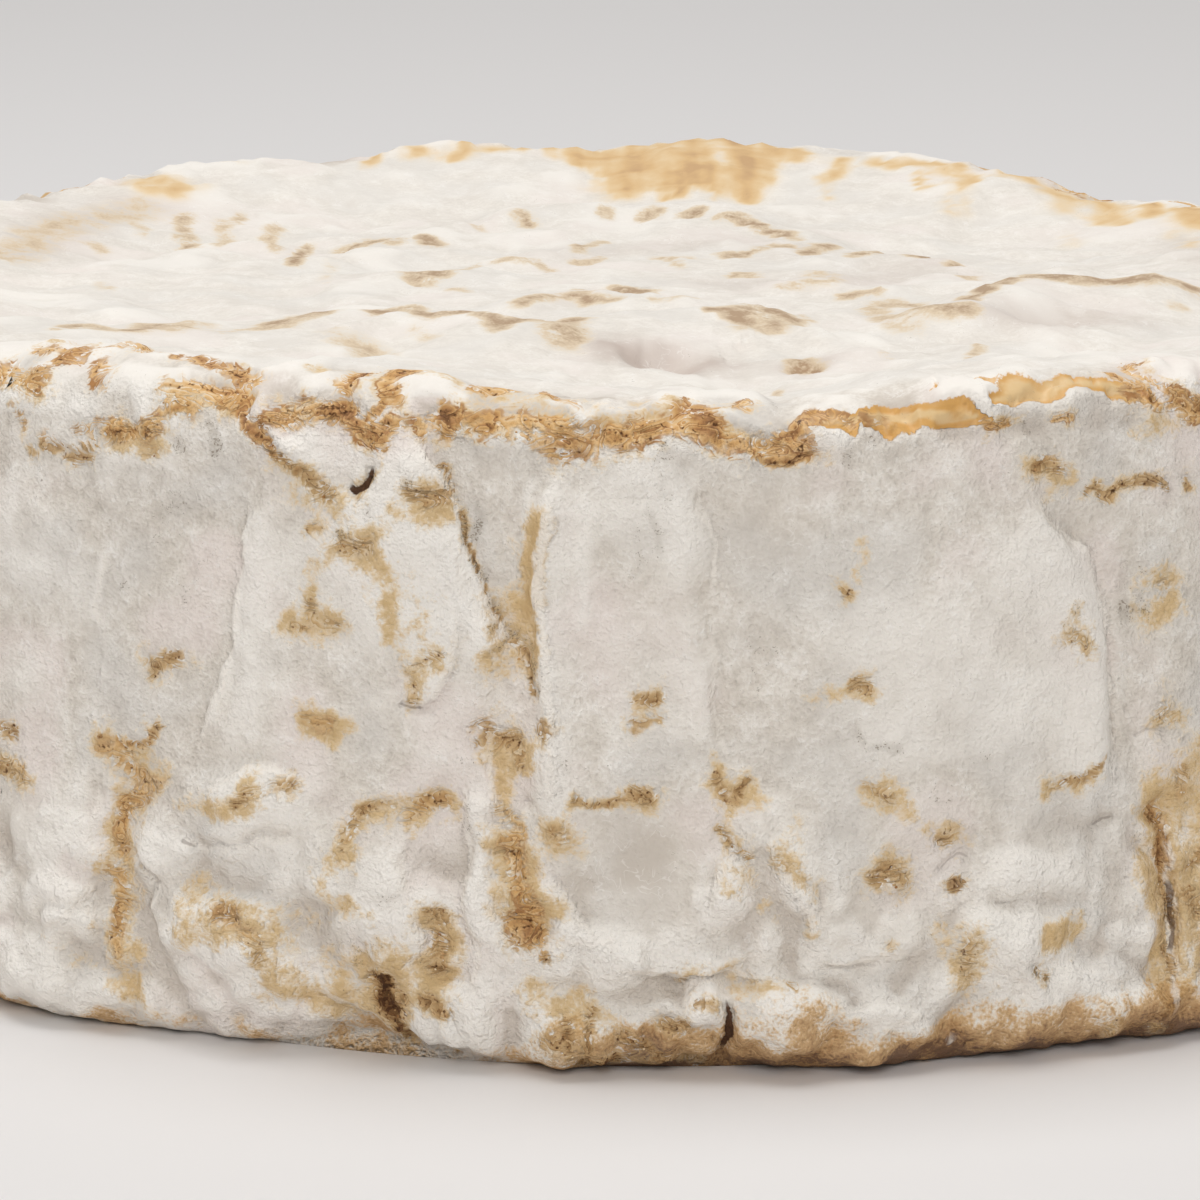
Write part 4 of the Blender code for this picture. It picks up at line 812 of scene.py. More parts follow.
def around_line(line, room, rough):
    """A line laid flat, the rind within this room of it, and that part's places, made uneven."""
    flat, middle = unrolled(line)
    arc = np.radians(turned(angles - middle)) * RADIUS
    lefts, levels = zip(*flat)
    near = (arc > min(lefts) - room) & (arc < max(lefts) + room)
    near &= (reach > min(levels) - room) & (reach < max(levels) + room)
    return flat, near, np.stack([arc[near], reach[near]], -1) + rough * drift[near]


def around_angle(middle, degrees, highest, rough):
    """The rind within so many degrees and below a reach, and that part's places, made uneven."""
    near = (np.abs(turned(angles - middle)) < degrees) & (reach < highest)
    return near, on_wall(angles[near], reach[near], middle) + rough * drift[near]


def marked(strokes, rough=1.0, blend=np.maximum):
    """The strength of a kind of mark over the whole rind, its outlines made uneven."""
    field = np.zeros(reach.shape)
    for line, half_width, strength in strokes:
        flat, near, places = around_line(line, STROKE_REACH * half_width + STROKE_ROOM, rough)
        distance, _, _ = from_line(places, flat)
        field[near] = blend(field[near], strength * hump(distance, half_width))
    return field


def marked_on_top(strokes, rough=1.0, blend=np.maximum, long=1.0):
    """The same for marks of the top, drawn out from front to back."""
    field = np.zeros(reach.shape)
    shown = smooth((reach - TOP_MARKS_FROM) / TOP_MARKS_EASE)
    for line, half_width, strength in strokes:
        wide = STROKE_REACH * half_width * long + STROKE_ROOM
        left, low = np.min(line, axis=0) - wide
        right, high = np.max(line, axis=0) + wide
        near = (x > left) & (x < right) & (y > low) & (y < high) & (shown > 0)
        places = np.stack([x[near], y[near] / long], -1) + rough * drift[near]
        distance, _, _ = from_line(places, [(across, up / long) for across, up in line])
        field[near] = blend(field[near], strength * hump(distance, half_width))
    return field * shown


def soaked(field, more):
    return 1.0 - (1.0 - field) * (1.0 - more)


def redrawn(strokes, wider, stronger, extra=0.0):
    """The same strokes at so many times their half width and strength."""
    return [(line, extra + wider * width, stronger * strength) for line, width, strength in strokes]


def kept_apart(lines, room=1.9):
    """Sorts lines into layers, so that no two in a layer come near each other."""
    layers = []
    for line in lines:
        places = [(a * RADIUS * math.pi / 180, z) for a, z in line[0]]
        low, high = np.min(places, axis=0) - room, np.max(places, axis=0) + room
        for layer in layers:
            if all((low > far).any() or (high < near).any() for near, far, _ in layer):
                layer.append((low, high, line))
                break
        else:
            layers.append([(low, high, line)])
    return [[line for _, _, line in layer] for layer in layers]


def parted_along(lines, rough=0.35, reach_out=1.8, room=2.0):
    """The distance from the nearest line, signed by its side, and that line's strength there."""
    off = np.full(reach.shape, reach_out)
    strength = np.zeros(reach.shape)
    for line, power, side in lines:
        flat, near, places = around_line(line, room, rough)
        distance, hand, share = from_line(places, flat)
        closer = distance < np.abs(off[near])
        off[near] = np.where(closer, distance * hand * -side, off[near])
        shown = fading(share, 0.12) * smooth(2.0 * (1.0 - distance / reach_out))
        strength[near] = np.where(closer, power * shown, strength[near])
    return off, strength


def bared(strokes, rough=0.8, room=3.0, highest=8.0):
    """Paste laid bare: 1 in the middle, 0.5 at its edge."""
    field = np.zeros(reach.shape)
    for line, strength in strokes:
        flat, middle = unrolled([(a, z) for a, z, _ in line])
        widths = [w for _, _, w in line]
        arc = np.radians(turned(angles - middle)) * RADIUS
        near = (arc > -room) & (arc < flat[-1][0] + room) & (np.abs(reach - flat[0][1]) < highest)
        places = np.stack([arc[near], reach[near]], -1) + rough * drift[near]
        distance, _, share = from_line(places, flat)
        width = np.interp(share, np.linspace(0, 1, len(widths)), widths)
        field[near] = np.maximum(field[near], strength * np.clip(1.0 - 0.5 * distance / width, 0, 1))
    return field


crust = marked(CRUST + hidden_crust, rough=0.55) * (1.0 + 0.5 * patches)
all_wash = [(line, width, min(1.0, 1.3 * strength)) for line, width, strength in WASH] + hidden_wash
wash = marked(all_wash, rough=0.9, blend=soaked)
wash = soaked(wash, marked(redrawn(CRUST + hidden_crust, 1.3, 0.50, extra=0.28), rough=0.9))
golden = marked_on_top(TOP_CRUST, rough=1.1, blend=soaked, long=1.3)
golden = soaked(golden, marked_on_top(redrawn(TOP_CRUST, 1.8, 0.4), rough=1.2))
tan = marked_on_top(redrawn(TOP_TAN, 0.85, 1.35), rough=0.35, long=1.8)
tan = np.maximum(tan, marked_on_top(redrawn(TOP_TAN, 1.6, 0.35), rough=0.8, long=1.6))
grime = marked(GRIME + hidden_grime, rough=1.4)
amber = bared(AMBER + hidden_amber)
# painted shade in the top's hollows
top_hollow_shade = marked_on_top(TOP_HOLLOW_SHADE, rough=1.4)
orange = np.maximum(smooth((reach - ORANGE_FROM) / ORANGE_EASE), marked(ORANGE_PARTS))
round_wheel = turned(angles)
honey = smooth((HONEY_TO - round_wheel) / HONEY_EASE) * smooth((round_wheel - HONEY_FROM) / HONEY_EASE)
PAINTED = {"orange": orange, "golden": golden, "honey": honey}
gap_layers = kept_apart([(line, width, 1) for line, width in CLEFTS])
for layer, lines in enumerate(gap_layers):
    PAINTED[f"gap_off_{layer}"], PAINTED[f"gap_{layer}"] = parted_along(lines, rough=0.1)
# worn smooth skin, and the painted shade of the broad patches
sleek_and_shade = np.zeros(reach.shape)
for (middle, level), half_width, half_height, strength, lean in SLEEK_AND_SHADE:
    near, places = around_angle(middle, 12, OVER_THE_RIM, rough=2.0)
    worn = swell(places, (0.0, level), half_width, half_height, strength, lean)
    sleek_and_shade[near] = np.maximum(sleek_and_shade[near], worn)
# Toasting up the foot, with painted shade where it curls under at the board
toast_angles, toast_heights, toast_strengths = np.array(TOAST_AND_FOOT_SHADE).T
on_front = (round_wheel > FRONT_FROM) & (round_wheel < FRONT_TO)
behind = TOAST_BEHIND + waves(angles, TOAST_WAVES)
browned = np.where(on_front, np.interp(round_wheel, toast_angles, toast_heights), behind)
scorch_and_shade = np.where(on_front, np.interp(round_wheel, toast_angles, toast_strengths), SCORCH_AND_SHADE_BEHIND)
toast_and_foot_shade = scorch_and_shade * np.clip(1.15 - (reach + 1.2 * drift[..., 0]) / browned, 0.0, 1.0)

# Fine relief, in mm along the skin's own outward direction
SHARP_FOLDS = [  # line, width of the edge, height and lapping side
    ([(-21.4, 28.6), (-22.1, 26), (-22.4, 23), (-22.8, 20.2), (-23.4, 18.6), (-24.2, 17), (-25, 15)],
      0.35, 0.28, 1), ([(-30.2, 24.2), (-31.1, 23), (-31.2, 21.5), (-30.6, 20.8)], 0.4, 0.12, -1),
    ([(-12.7, 31.8), (-11.6, 30.2), (-10.6, 28.6), (-9.9, 27.4), (-9, 25), (-8, 22.8), (-6.8, 20.4)],
      0.3, 0.34, -1),
    ([(-4.5, 29.4), (-4.9, 27), (-5.4, 25.4), (-5.2, 22), (-5, 19), (-4.9, 16), (-5, 13)],
      0.3, 0.34, -1),
    ([(-10.1, 23.5), (-10.2, 21), (-10.5, 19.6), (-11.3, 18.8), (-12.2, 18.2), (-13.2, 18.3)],
      0.35, 0.26, -1), ([(2.3, 30.2), (2.8, 28), (3.4, 26.4), (3.6, 24)], 0.45, 0.22, -1),
    ([(3, 22), (3.6, 18), (3.9, 15.8)], 0.5, 0.15, -1),
    ([(19.5, 29.2), (21.4, 27), (23.6, 25.2), (25, 22), (25.3, 18), (25.4, 12.4)], 0.5, 0.25, -1),
    ([(-25.8, 10.9), (-24.4, 10.4), (-22, 10.7), (-20.4, 11.3), (-18.4, 11.7)], 0.3, 0.22, -1),
    ([(-24.4, 13.6), (-22, 14.6), (-20, 15), (-18.2, 14.6)], 0.4, 0.2, -1),
    ([(5.6, 12.4), (6.4, 10.8), (7.4, 8.9), (8.2, 7.1)], 0.3, 0.3, 1),
    ([(3.2, 13), (3.9, 12), (4.4, 11.3), (5.2, 10.9)], 0.3, 0.28, 1),
    ([(3.5, 11), (3.1, 9.8), (2.9, 8.6)], 0.3, 0.18, 1),
    ([(-2.2, 5.7), (0, 5.3), (1.8, 5.1), (4, 5.4), (6.6, 5)], 0.35, 0.3, 1),
    ([(8.2, 5.9), (10, 5.9), (12.6, 5.9), (14, 6.1)], 0.35, 0.22, 1),
    ([(13.9, 8.2), (14, 6.2)], 0.3, 0.15, -1),
    ([(-8.2, 16.6), (-8.1, 14.6), (-7.9, 12.8)], 0.35, 0.2, -1),
    ([(-10, 15.2), (-9.8, 12), (-9.9, 9), (-9.4, 6), (-9.8, 3.6)], 0.4, 0.25, 1),
    ([(-12.8, 12.4), (-12.6, 10.6), (-12.2, 9.2)], 0.35, 0.16, -1),
    ([(-11.9, 8.2), (-12.2, 6.4), (-12.4, 5)], 0.35, 0.2, -1),
    ([(28.2, 12), (28.6, 9), (28.5, 6.4), (28.6, 4), (28.2, 2)], 0.4, 0.4, 1),
    ([(26.4, 11), (27.4, 9.6), (28, 8.4)], 0.35, 0.2, 1),
    ([(-28.8, 9.6), (-27.8, 8.9), (-27.3, 8), (-27.6, 6.8), (-26.8, 5.2), (-26.2, 4.2)],
      0.35, 0.25, 1), ([(-31, 13.6), (-31.2, 12.2), (-31.4, 10.8)], 0.4, 0.2, 1),
    ([(-7.9, 9.4), (-7.7, 8.2), (-7.6, 6.8)], 0.35, 0.2, -1),
    ([(-5.2, 10.6), (-4.4, 9.2), (-3.8, 8.2), (-2.6, 7.2)], 0.4, 0.2, -1),
    ([(-4.9, 6.6), (-3.6, 6.8), (-1.6, 6.9)], 0.35, 0.18, 1),
    ([(-18.4, 3.6), (-16.6, 2.6), (-14.8, 1.9)], 0.4, 0.2, 1),
    ([(-34, 5), (-32, 6.2), (-30.8, 8)], 0.5, 0.2, 1),
    ([(11.5, 2), (13, 2.6), (14.4, 3.1)], 0.4, 0.2, 1), ([(16, 1.6), (15.7, 1.1)], 0.3, 0.25, 1),
    ([(19.2, 5.9), (20, 5.1), (21.2, 4.5)], 0.35, 0.2, -1),
]
# Where the torn skin of the top overhangs the crust, and where the wall's skin ends below it
RIM_LIPS = [
    ([(-9.8, 32.4), (-8.4, 32.6), (-7.2, 32.9), (-6, 33.1), (-5, 32.9), (-4.2, 32.3), (-3.4, 32),
      (-2.4, 32.4), (-1.4, 32.7), (0, 32.9), (1.2, 32.9), (2.2, 32.5), (3.2, 32.6), (4.6, 32.1),
      (6, 31.5), (7.6, 31.6)], 0.28, 0.42, 1),
    ([(-20, 32.6), (-19, 32.9), (-18, 33.2), (-17, 33.4), (-16, 32.9), (-15.2, 32.3), (-14.6, 32)],
      0.28, 0.42, 1),
    ([(-27.2, 33.4), (-25, 34), (-23.2, 33.6), (-22, 32.8), (-21, 31.9), (-20, 30.8), (-18.6, 29.7),
      (-17.2, 29)], 0.28, 0.38, 1),
    ([(-38, 35.5), (-35, 35.5), (-33, 36.2), (-31, 36.8)], 0.3, 0.35, 1),
    ([(-28.2, 36.2), (-26, 35.8), (-24.2, 35.4), (-22.6, 34.3), (-21.6, 33.4)], 0.28, 0.36, 1),
    ([(-12.8, 33.4), (-11.6, 33.2), (-10.4, 33), (-9.9, 32.6)], 0.28, 0.35, 1),
    ([(-9.8, 35.2), (-8.2, 35.4), (-6.4, 35.9), (-4.8, 35.2)], 0.3, 0.3, 1),
    ([(-9.8, 31.2), (-7.2, 31.7), (-5, 31.8), (-4.4, 31), (-3.4, 30.7), (-2, 31.2), (0, 31.4),
      (2.4, 31.1), (3.6, 30.7), (5.4, 30.4)], 0.3, 0.2, -1),
    ([(-19.9, 31.6), (-18.4, 31.9), (-17, 31.6), (-15.6, 30.9), (-14.4, 30.9)], 0.3, 0.2, -1),
    ([(-31, 29.9), (-29.4, 29.7), (-27.8, 30), (-26.8, 31)], 0.3, 0.2, -1),
    ([(-34.8, 30.1), (-33.2, 29.7), (-31.6, 29.4)], 0.3, 0.2, 1),
]
ROPES = [  # sharp raised pleats of skin: line, half width and height
    ([(-4.7, 31), (-5.1, 27), (-5.6, 24.4), (-5.3, 21), (-5, 17), (-5.1, 12.4)], 0.36, 0.3),
    ([(-12.9, 32.2), (-11.8, 30.4), (-10.9, 28.8), (-10.1, 27.4), (-9.2, 25), (-8.2, 22.8)],
      0.32, 0.24),
    ([(-21.2, 28.6), (-21.9, 26), (-22.3, 22.4), (-23.2, 18.6), (-24.6, 15.4)], 0.4, 0.16),
    ([(-30.6, 25.4), (-31.3, 22.4), (-30.9, 19.4), (-31.2, 16.4)], 0.4, 0.14),
    ([(25.6, 22), (25.8, 18), (25.8, 12.4)], 0.4, 0.18),
    ([(5.4, 12.8), (6.2, 11.2), (7.2, 9.1), (8, 7)], 0.3, 0.26),
    ([(-6, 30.4), (-6.3, 27.4), (-6.6, 24.4)], 0.35, 0.16),
    ([(-3.4, 29.4), (-3.6, 25.4), (-3.4, 21.4)], 0.4, 0.12),
    ([(-2.6, 6.3), (0, 5.9), (2.2, 5.7), (4.4, 6)], 0.32, 0.22),
    ([(8.4, 6.5), (10.4, 6.4), (12.8, 6.4), (14.2, 6.7)], 0.35, 0.2),
    ([(-25.9, 11.5), (-24.4, 11), (-22, 11.3), (-20.2, 11.9)], 0.35, 0.2),
    ([(-9.2, 14.4), (-9, 11), (-9.2, 7.4)], 0.4, 0.2),
    ([(28.9, 12), (29.3, 8.4), (29.2, 4.4)], 0.4, 0.24),
]
CRUMPLED_BELOW, CRUMPLE_EASE = 15.0, 9.0
RIM_FROM, RIM_TO = 30.5, 39.0  # the reach over which the rim is torn and rumpled
INWARD_FROM, TOP_FROM = 35.2, 37.0
SPOKE_RADIUS, SPOKE_STRETCH = 36.0, 3.0  # the top's drapery runs in towards the middle
DRAPED_FROM, DRAPED_EASE = 16.0, 8.0
RUMPLE = [(0.22, 3.2, 21), (0.15, 1.4, 22)]
PUFFS = [(0.8, 3.8, 41), (0.45, 1.7, 42)]
PUFF_LEVEL = 0.32
FINE = [(0.07, 0.85, 23), (0.05, 0.5, 24)]
DRAPERY = [(0.30, 2.6, 31), (0.10, 1.3, 32)]
CRUST_GRIT = [(0.16, 0.5, 26), (0.12, 1.1, 27)]
PIT_SIZE, PIT_LEVEL, PIT_DEPTH = 1.9, 0.55, 0.3
PUFF_RANGE = 0.35  # the height that counts as fully puffed or hollow
BARE_DEPTH, LIP_HEIGHT, CRUST_DEPTH = 0.30, 0.10, 0.06
SHARPEST = 0.3  # the height of a fold whose edge shows in full

# The sharp folds' edges also place the painted shade under each edge and the painted highlight along it
folds = [(line, min(1.0, height / SHARPEST), side) for line, _, height, side in SHARP_FOLDS]
edge_layers = kept_apart(folds)
for layer, lines in enumerate(edge_layers):
    PAINTED[f"edge_off_{layer}"], PAINTED[f"edge_{layer}"] = parted_along(lines)
fold_shift = np.zeros(reach.shape)
for line, half_width, height in ROPES:
    flat, middle = unrolled(line)
    near, places = around_angle(middle, 14, OVER_THE_RIM, rough=0.4)
    fold_shift[near] += ridge(places, flat, half_width, height)
for line, width, height, side in SHARP_FOLDS + RIM_LIPS:
    flat, middle = unrolled(line)
    near, places = around_angle(middle, FOLD_SPAN, 38.5, rough=0.6)
    fold_shift[near] += lap(places, flat, width, height, side)

# How far each place is on the crumpled foot, the torn rim and the top, and the noises that roughen it
low_down = smooth((CRUMPLED_BELOW - reach) / CRUMPLE_EASE) * smooth(reach / 1.5)
over_rim = smooth((reach - RIM_FROM) / 1.0) * smooth((RIM_TO - reach) / 3.0)
top_side = smooth((reach - TOP_FROM) / 5.0)
inward = smooth((reach - INWARD_FROM) / 1.6)
spokes = np.stack([np.radians(angles) * SPOKE_RADIUS, np.hypot(x, y) / SPOKE_STRETCH, 0 * x], -1)
drapery = grains(DRAPERY, spokes) * smooth((radii - DRAPED_FROM) / DRAPED_EASE) * inward
rumple = grains(RUMPLE, form)
puffs = grains(PUFFS, form, shape=np.abs) - PUFF_LEVEL
fine = grains(FINE, form)
pits = np.minimum(grain(form, PIT_SIZE, 25) + PIT_LEVEL, 0.0) * PIT_DEPTH
depth = marked([(line, 0.2 + width, 3.5 * width) for line, width in CLEFTS], rough=0.1)
bare = smooth((amber - 0.42) / 0.2)
lip = hump(amber - 0.30, 0.14) * (amber > 0.02)
rough_crust = crust * grains(CRUST_GRIT, form)

# The relief that shows as puffs and hollows, then all that shifts the skin
relief = fold_shift + rumple * (0.35 + 1.0 * low_down + 1.6 * over_rim + 0.1 * top_side)
relief += puffs * (0.14 + 1.25 * low_down + 0.3 * top_side) * (1.0 - sleek_and_shade)
# Painted light and shade that follows the relief: raised parts and swells are painted lighter, hollows
# darker
relief_light_and_shade = np.clip(relief / PUFF_RANGE, -1.0, 1.0)
relief_light_and_shade[:wall_rings] = np.clip(relief_light_and_shade[:wall_rings] + 0.75 * bulge, -1.0, 1.0)
shift = relief.copy()
shift += fine * (1.0 + 1.2 * low_down + over_rim) * (1.0 - 0.8 * sleek_and_shade) + pits * (0.3 + low_down)
shift += drapery + 1.5 * rough_crust - CRUST_DEPTH * crust - BARE_DEPTH * bare + LIP_HEIGHT * lip - depth
shift *= 1.0 - 0.85 * bare * (shift > -BARE_DEPTH)
shift[0] = 0.0

along_ring = np.roll(form, -1, axis=1) - np.roll(form, 1, axis=1)
up_section = np.gradient(form, axis=0)
outward = np.cross(along_ring, up_section)
outward /= np.linalg.norm(outward, axis=-1, keepdims=True)
skin = form + shift[..., None] * outward
skin[..., 2] = np.maximum(skin[..., 2], 0.0)


def column_step(radius):
    return 1 << sum(radius < limit for limit in HALVE_BELOW)


# Faces: the front has every ring; the rest has every second one out to the sunken floor, and a face with
# five corners closes each step between the two.
number = np.full(radii.shape, -1)
faces, kept = [], []
floor_from = wall_rings + SLOPE_ROWS
for ring in range(ring_count):
    chosen = np.arange(0, len(columns), column_step(radii[ring].mean()))
    if ring < floor_from and ring % 2:
        chosen = np.arange(0, FRONT_COLUMNS + 1)
    number[ring, chosen] = np.arange(len(kept), len(kept) + len(chosen))
    kept.extend((ring * len(columns) + chosen).tolist())
for ring in range(floor_from):
    for column in range(FRONT_COLUMNS):
        low, high = number[ring, column:column + 2], number[ring + 1, column:column + 2]
        faces.append((low[0], low[1], high[1], high[0]))
for ring in range(0, floor_from, 2):
    for column in range(FRONT_COLUMNS, len(columns)):
        after = (column + 1) % len(columns)
        low, middle, high = number[ring:ring + 3, [column, after]]
        face = [low[0], low[1], high[1], high[0]]
        if column == FRONT_COLUMNS:
            face.append(middle[0])
        if after == 0:
            face.insert(2, middle[1])
        faces.append(face)
rings = [number[ring, number[ring] >= 0] for ring in range(floor_from, ring_count)]
for outer, within in zip(rings[:-1], rings[1:]):
    after = np.roll(within, -1)
    if len(outer) == len(within):
        faces += np.stack([outer, np.roll(outer, -1), after, within], -1).tolist()
    else:
        left, between, right = outer[::2], outer[1::2], np.roll(outer[::2], -1)
        faces += np.stack([left, between, within], -1).tolist()
        faces += np.stack([between, after, within], -1).tolist()
        faces += np.stack([between, right, after], -1).tolist()
flat_skin = skin.reshape(-1, 3)[kept]
crown = len(kept)
hub = crown + 1
faces += [(int(a), int(b), crown) for a, b in zip(rings[-1], np.roll(rings[-1], -1))]
faces += [(int(b), int(a), hub) for a, b in zip(number[0], np.roll(number[0], -1))]
middle_top = flat_skin[rings[-1]].mean(axis=0) * (0, 0, 1)
flat_skin = np.vstack([flat_skin, [middle_top, (0.0, 0.0, 0.0)]])

CRUMBLY_PAST, CRUMBLY_BELOW = 0.35, 38.0
crumbly = np.clip(crust - CRUMBLY_PAST, 0.0, 1.0) * smooth((CRUMBLY_BELOW - reach) / 2.0) * (1.0 - bare)
rind_mesh = bpy.data.meshes.new("mould_rind")
faces = [[int(corner) for corner in face] for face in faces]
rind_mesh.from_pydata((flat_skin * MM).tolist(), [], faces)
rind_mesh.validate()
rind_mesh.shade_smooth()
PAINTED |= {"crust": crust, "wash": wash, "grime": grime, "amber": amber, "top_hollow_shade": top_hollow_shade,
            "sleek_and_shade": sleek_and_shade, "toast_and_foot_shade": toast_and_foot_shade, "tan": tan, "relief_light_shade": relief_light_and_shade, "top": inward,
            "past": smooth((outward[..., 2] - 0.55) / 0.3), "crumbly": crumbly}
for name, field in PAINTED.items():
    values = np.concatenate([field.ravel()[kept], [0.0, 0.0]]).astype(np.float32)
    rind_mesh.attributes.new(name, "FLOAT", "POINT").data.foreach_set("value", values)
rind = added("mould_rind", rind_mesh)


def node(tree, kind, *sources, named=None, **settings):
    """Adds a node, sets its options, and fills its inputs, in order or by name."""
    made = tree.nodes.new(kind)
    for name, value in settings.items():
        setattr(made, name, value)
    by_name = [(made.inputs[name], source) for name, source in (named or {}).items()]
    for socket, source in [*zip(made.inputs, sources), *by_name]:
        if isinstance(source, bpy.types.NodeSocket):
            tree.links.new(source, socket)
        elif source is not None:
            socket.default_value = source
    return made


def reckoned(tree, operation, *sources, kind="ShaderNodeMath", **settings):
    """The result of a Math node, or of a Vector Math node."""
    return node(tree, kind, *sources, operation=operation, **settings).outputs[0]


def sum_of(tree, *parts):
    """Adds up sockets, each given alone or as (socket, how much of it)."""
    total = 0.0
    for part in parts:
        socket, share = part if isinstance(part, tuple) else (part, 1.0)
        total = reckoned(tree, "MULTIPLY_ADD", socket, share, total)
    return total


def times(tree, a, b):
    return reckoned(tree, "MULTIPLY", a, b)


def between(tree, value, low, high):
    """0 at low, 1 at high and eased between them."""
    return node(tree, "ShaderNodeMapRange", value, low, high, interpolation_type="SMOOTHSTEP").outputs[0]


def band(tree, value, low, inner_low, inner_high, high):
    """1 between the inner limits, easing to 0 at the outer ones."""
    return times(tree, between(tree, value, low, inner_low), between(tree, value, high, inner_high))


def tinted(tree, share, under, over):
    """One colour laid over another, by a share from 0 to 1."""
    made = node(tree, "ShaderNodeMix", share, data_type="RGBA")
    for socket, source in ((made.inputs[6], under), (made.inputs[7], over)):
        if isinstance(source, bpy.types.NodeSocket):
            tree.links.new(source, socket)
        else:
            socket.default_value = (*source, 1.0)
    return made.outputs[2]


def laid(tree, under, over, value, low, high, most=None):
    """One colour laid over another where a value runs from low to high, by this share at most."""
    share = between(tree, value, low, high)
    return tinted(tree, times(tree, share, most) if most else share, under, over)


def shades(tree, value, stops):
    made = node(tree, "ShaderNodeValToRGB", value)
    ramp = made.color_ramp
    while len(ramp.elements) < len(stops):
        ramp.elements.new(0.5)
    for element, (position, colour) in zip(ramp.elements, stops):
        element.position = position
        element.color = (*colour, 1.0)
    return made.outputs[0]


def noise(tree, places, size, detail, roughness=0.5, distortion=0.0):
    """A noise from 0 to 1 with grains of this size in mm."""
    return node(tree, "ShaderNodeTexNoise", named={
        "Vector": places, "Scale": 1.0 / size, "Detail": detail, "Roughness": roughness,
        "Distortion": distortion})


def mottle(tree, places, size, detail=1.0, roughness=0.5, strength=3.5):
    """Noise spread about zero: a strength of 4 takes most of it from -0.5 to 0.5."""
    spots = noise(tree, places, size, detail, roughness).outputs["Fac"]
    return reckoned(tree, "MULTIPLY_ADD", spots, strength, -0.5 * strength)


def stretched(tree, places, by):
    return reckoned(tree, "MULTIPLY", places, by, kind="ShaderNodeVectorMath")


def new_finish(name):
    """A material with its node tree, its shader and the places on the piece in mm."""
    made = bpy.data.materials.new(name)
    made.use_nodes = True
    place = node(made.node_tree, "ShaderNodeTexCoord").outputs["Object"]
    place_mm = reckoned(made.node_tree, "SCALE", place, kind="ShaderNodeVectorMath",
                        named={"Scale": 1.0 / MM})
    return made, made.node_tree, made.node_tree.nodes["Principled BSDF"], place_mm


def field_of(tree, name):
    return node(tree, "ShaderNodeAttribute", attribute_name=name).outputs["Fac"]


MOULD_DEEP = (0.61, 0.55, 0.48)
MOULD = (0.738, 0.678, 0.602)
MOULD_FLUFF = (0.93, 0.885, 0.82)
MOULD_TOP = (0.86, 0.82, 0.76)
MOULD_THREAD = (0.93, 0.90, 0.86)
MOULD_ROSY = (0.82, 0.72, 0.67)
MOULD_COOL = (0.72, 0.69, 0.65)
SLEEK_SKIN_AND_SHADE = (0.60, 0.535, 0.46)
FOLD_SHADE = (0.36, 0.29, 0.22)
FOLD_HIGHLIGHT = (0.93, 0.87, 0.79)
HOLLOW_SHADE = (0.58, 0.51, 0.44)
SOAKED = [(0.0, (0.82, 0.70, 0.51)), (0.5, (0.75, 0.56, 0.32)), (1.0, (0.61, 0.41, 0.18))]
TAN_MARK = [(0.0, (0.84, 0.76, 0.63)), (0.5, (0.70, 0.55, 0.37)), (1.0, (0.38, 0.23, 0.11))]
GOLDEN = [(0.0, (0.86, 0.76, 0.61)), (0.45, (0.80, 0.60, 0.35)), (0.8, (0.70, 0.46, 0.215)),
          (1.0, (0.58, 0.36, 0.17))]
SCAB = [(0.0, (0.80, 0.66, 0.47)), (0.34, (0.64, 0.44, 0.23)), (0.70, (0.45, 0.27, 0.115)),
        (1.0, (0.15, 0.065, 0.02))]
OUTLINE = (0.42, 0.21, 0.08)
FLECK = (0.22, 0.10, 0.035)
SCORCHED = (0.07, 0.025, 0.008)
AMBER_DEEP = (0.69, 0.385, 0.12)
AMBER_PALE = (0.76, 0.54, 0.28)
MAUVE_SHADE = (0.50, 0.40, 0.345)
GREY_SPECK = (0.20, 0.15, 0.095)
GAP = (0.09, 0.04, 0.018)
ORANGE_SCAB = [(0.0, (0.88, 0.74, 0.54)), (0.25, (0.78, 0.525, 0.265)), (0.46, (0.635, 0.365, 0.138)),
               (0.70, (0.43, 0.205, 0.07)), (1.0, (0.16, 0.06, 0.02))]
TOAST_AND_FOOT_SHADE_TONES = [(0.0, (0.84, 0.70, 0.49)), (0.42, (0.67, 0.43, 0.20)), (0.78, (0.43, 0.235, 0.085)),
                (1.0, (0.18, 0.08, 0.025))]

# Sizes of the mould's grains in mm, from its broad patches to its down
BROAD, MID, CLOT, FELT, SPECK, DOWN = 6.0, 2.8, 1.5, 0.5, 0.26, 0.17
SHEET, SHEETS = 1.9, 8.0  # the size and the number of the thin layers that mould dries into
FLAT_SHEETS = (1.0, 1.0, 1.7)
STREAK_STRETCH = (1.0, 0.12, 0.3)
THREADS_PER_MM, SHAKES_PER_MM, DOTS_PER_MM = 1.1, 4.5, 3.1
SHAKE = (0.9, 0.9, 0.9)
FLUFFY_FROM, FLUFFY_BELOW = 15.0, 7.0
NAP_DEPTH = 0.20 * MM

finish, tree, shader, place_mm = new_finish("mould_rind")
painted = {name: field_of(tree, name) for name in PAINTED if name != "crumbly"}
broad = mottle(tree, place_mm, BROAD)
mid = mottle(tree, place_mm, MID)
clots = mottle(tree, place_mm, CLOT, 2.0, 0.58)
felt = mottle(tree, place_mm, FELT, 2.6, 0.66)
tiny = mottle(tree, place_mm, SPECK, 1.0, 0.6)
fluff = mottle(tree, place_mm, DOWN)
sheets = noise(tree, stretched(tree, place_mm, FLAT_SHEETS), SHEET, 1.6, distortion=1.2).outputs["Fac"]
layered = sum_of(tree, (sheets, SHEETS), (felt, 0.25))
step = sum_of(tree, reckoned(tree, "FRACT", layered), -0.5)
height_mm = node(tree, "ShaderNodeSeparateXYZ", place_mm).outputs[2]
low = between(tree, height_mm, FLUFFY_FROM, FLUFFY_BELOW)

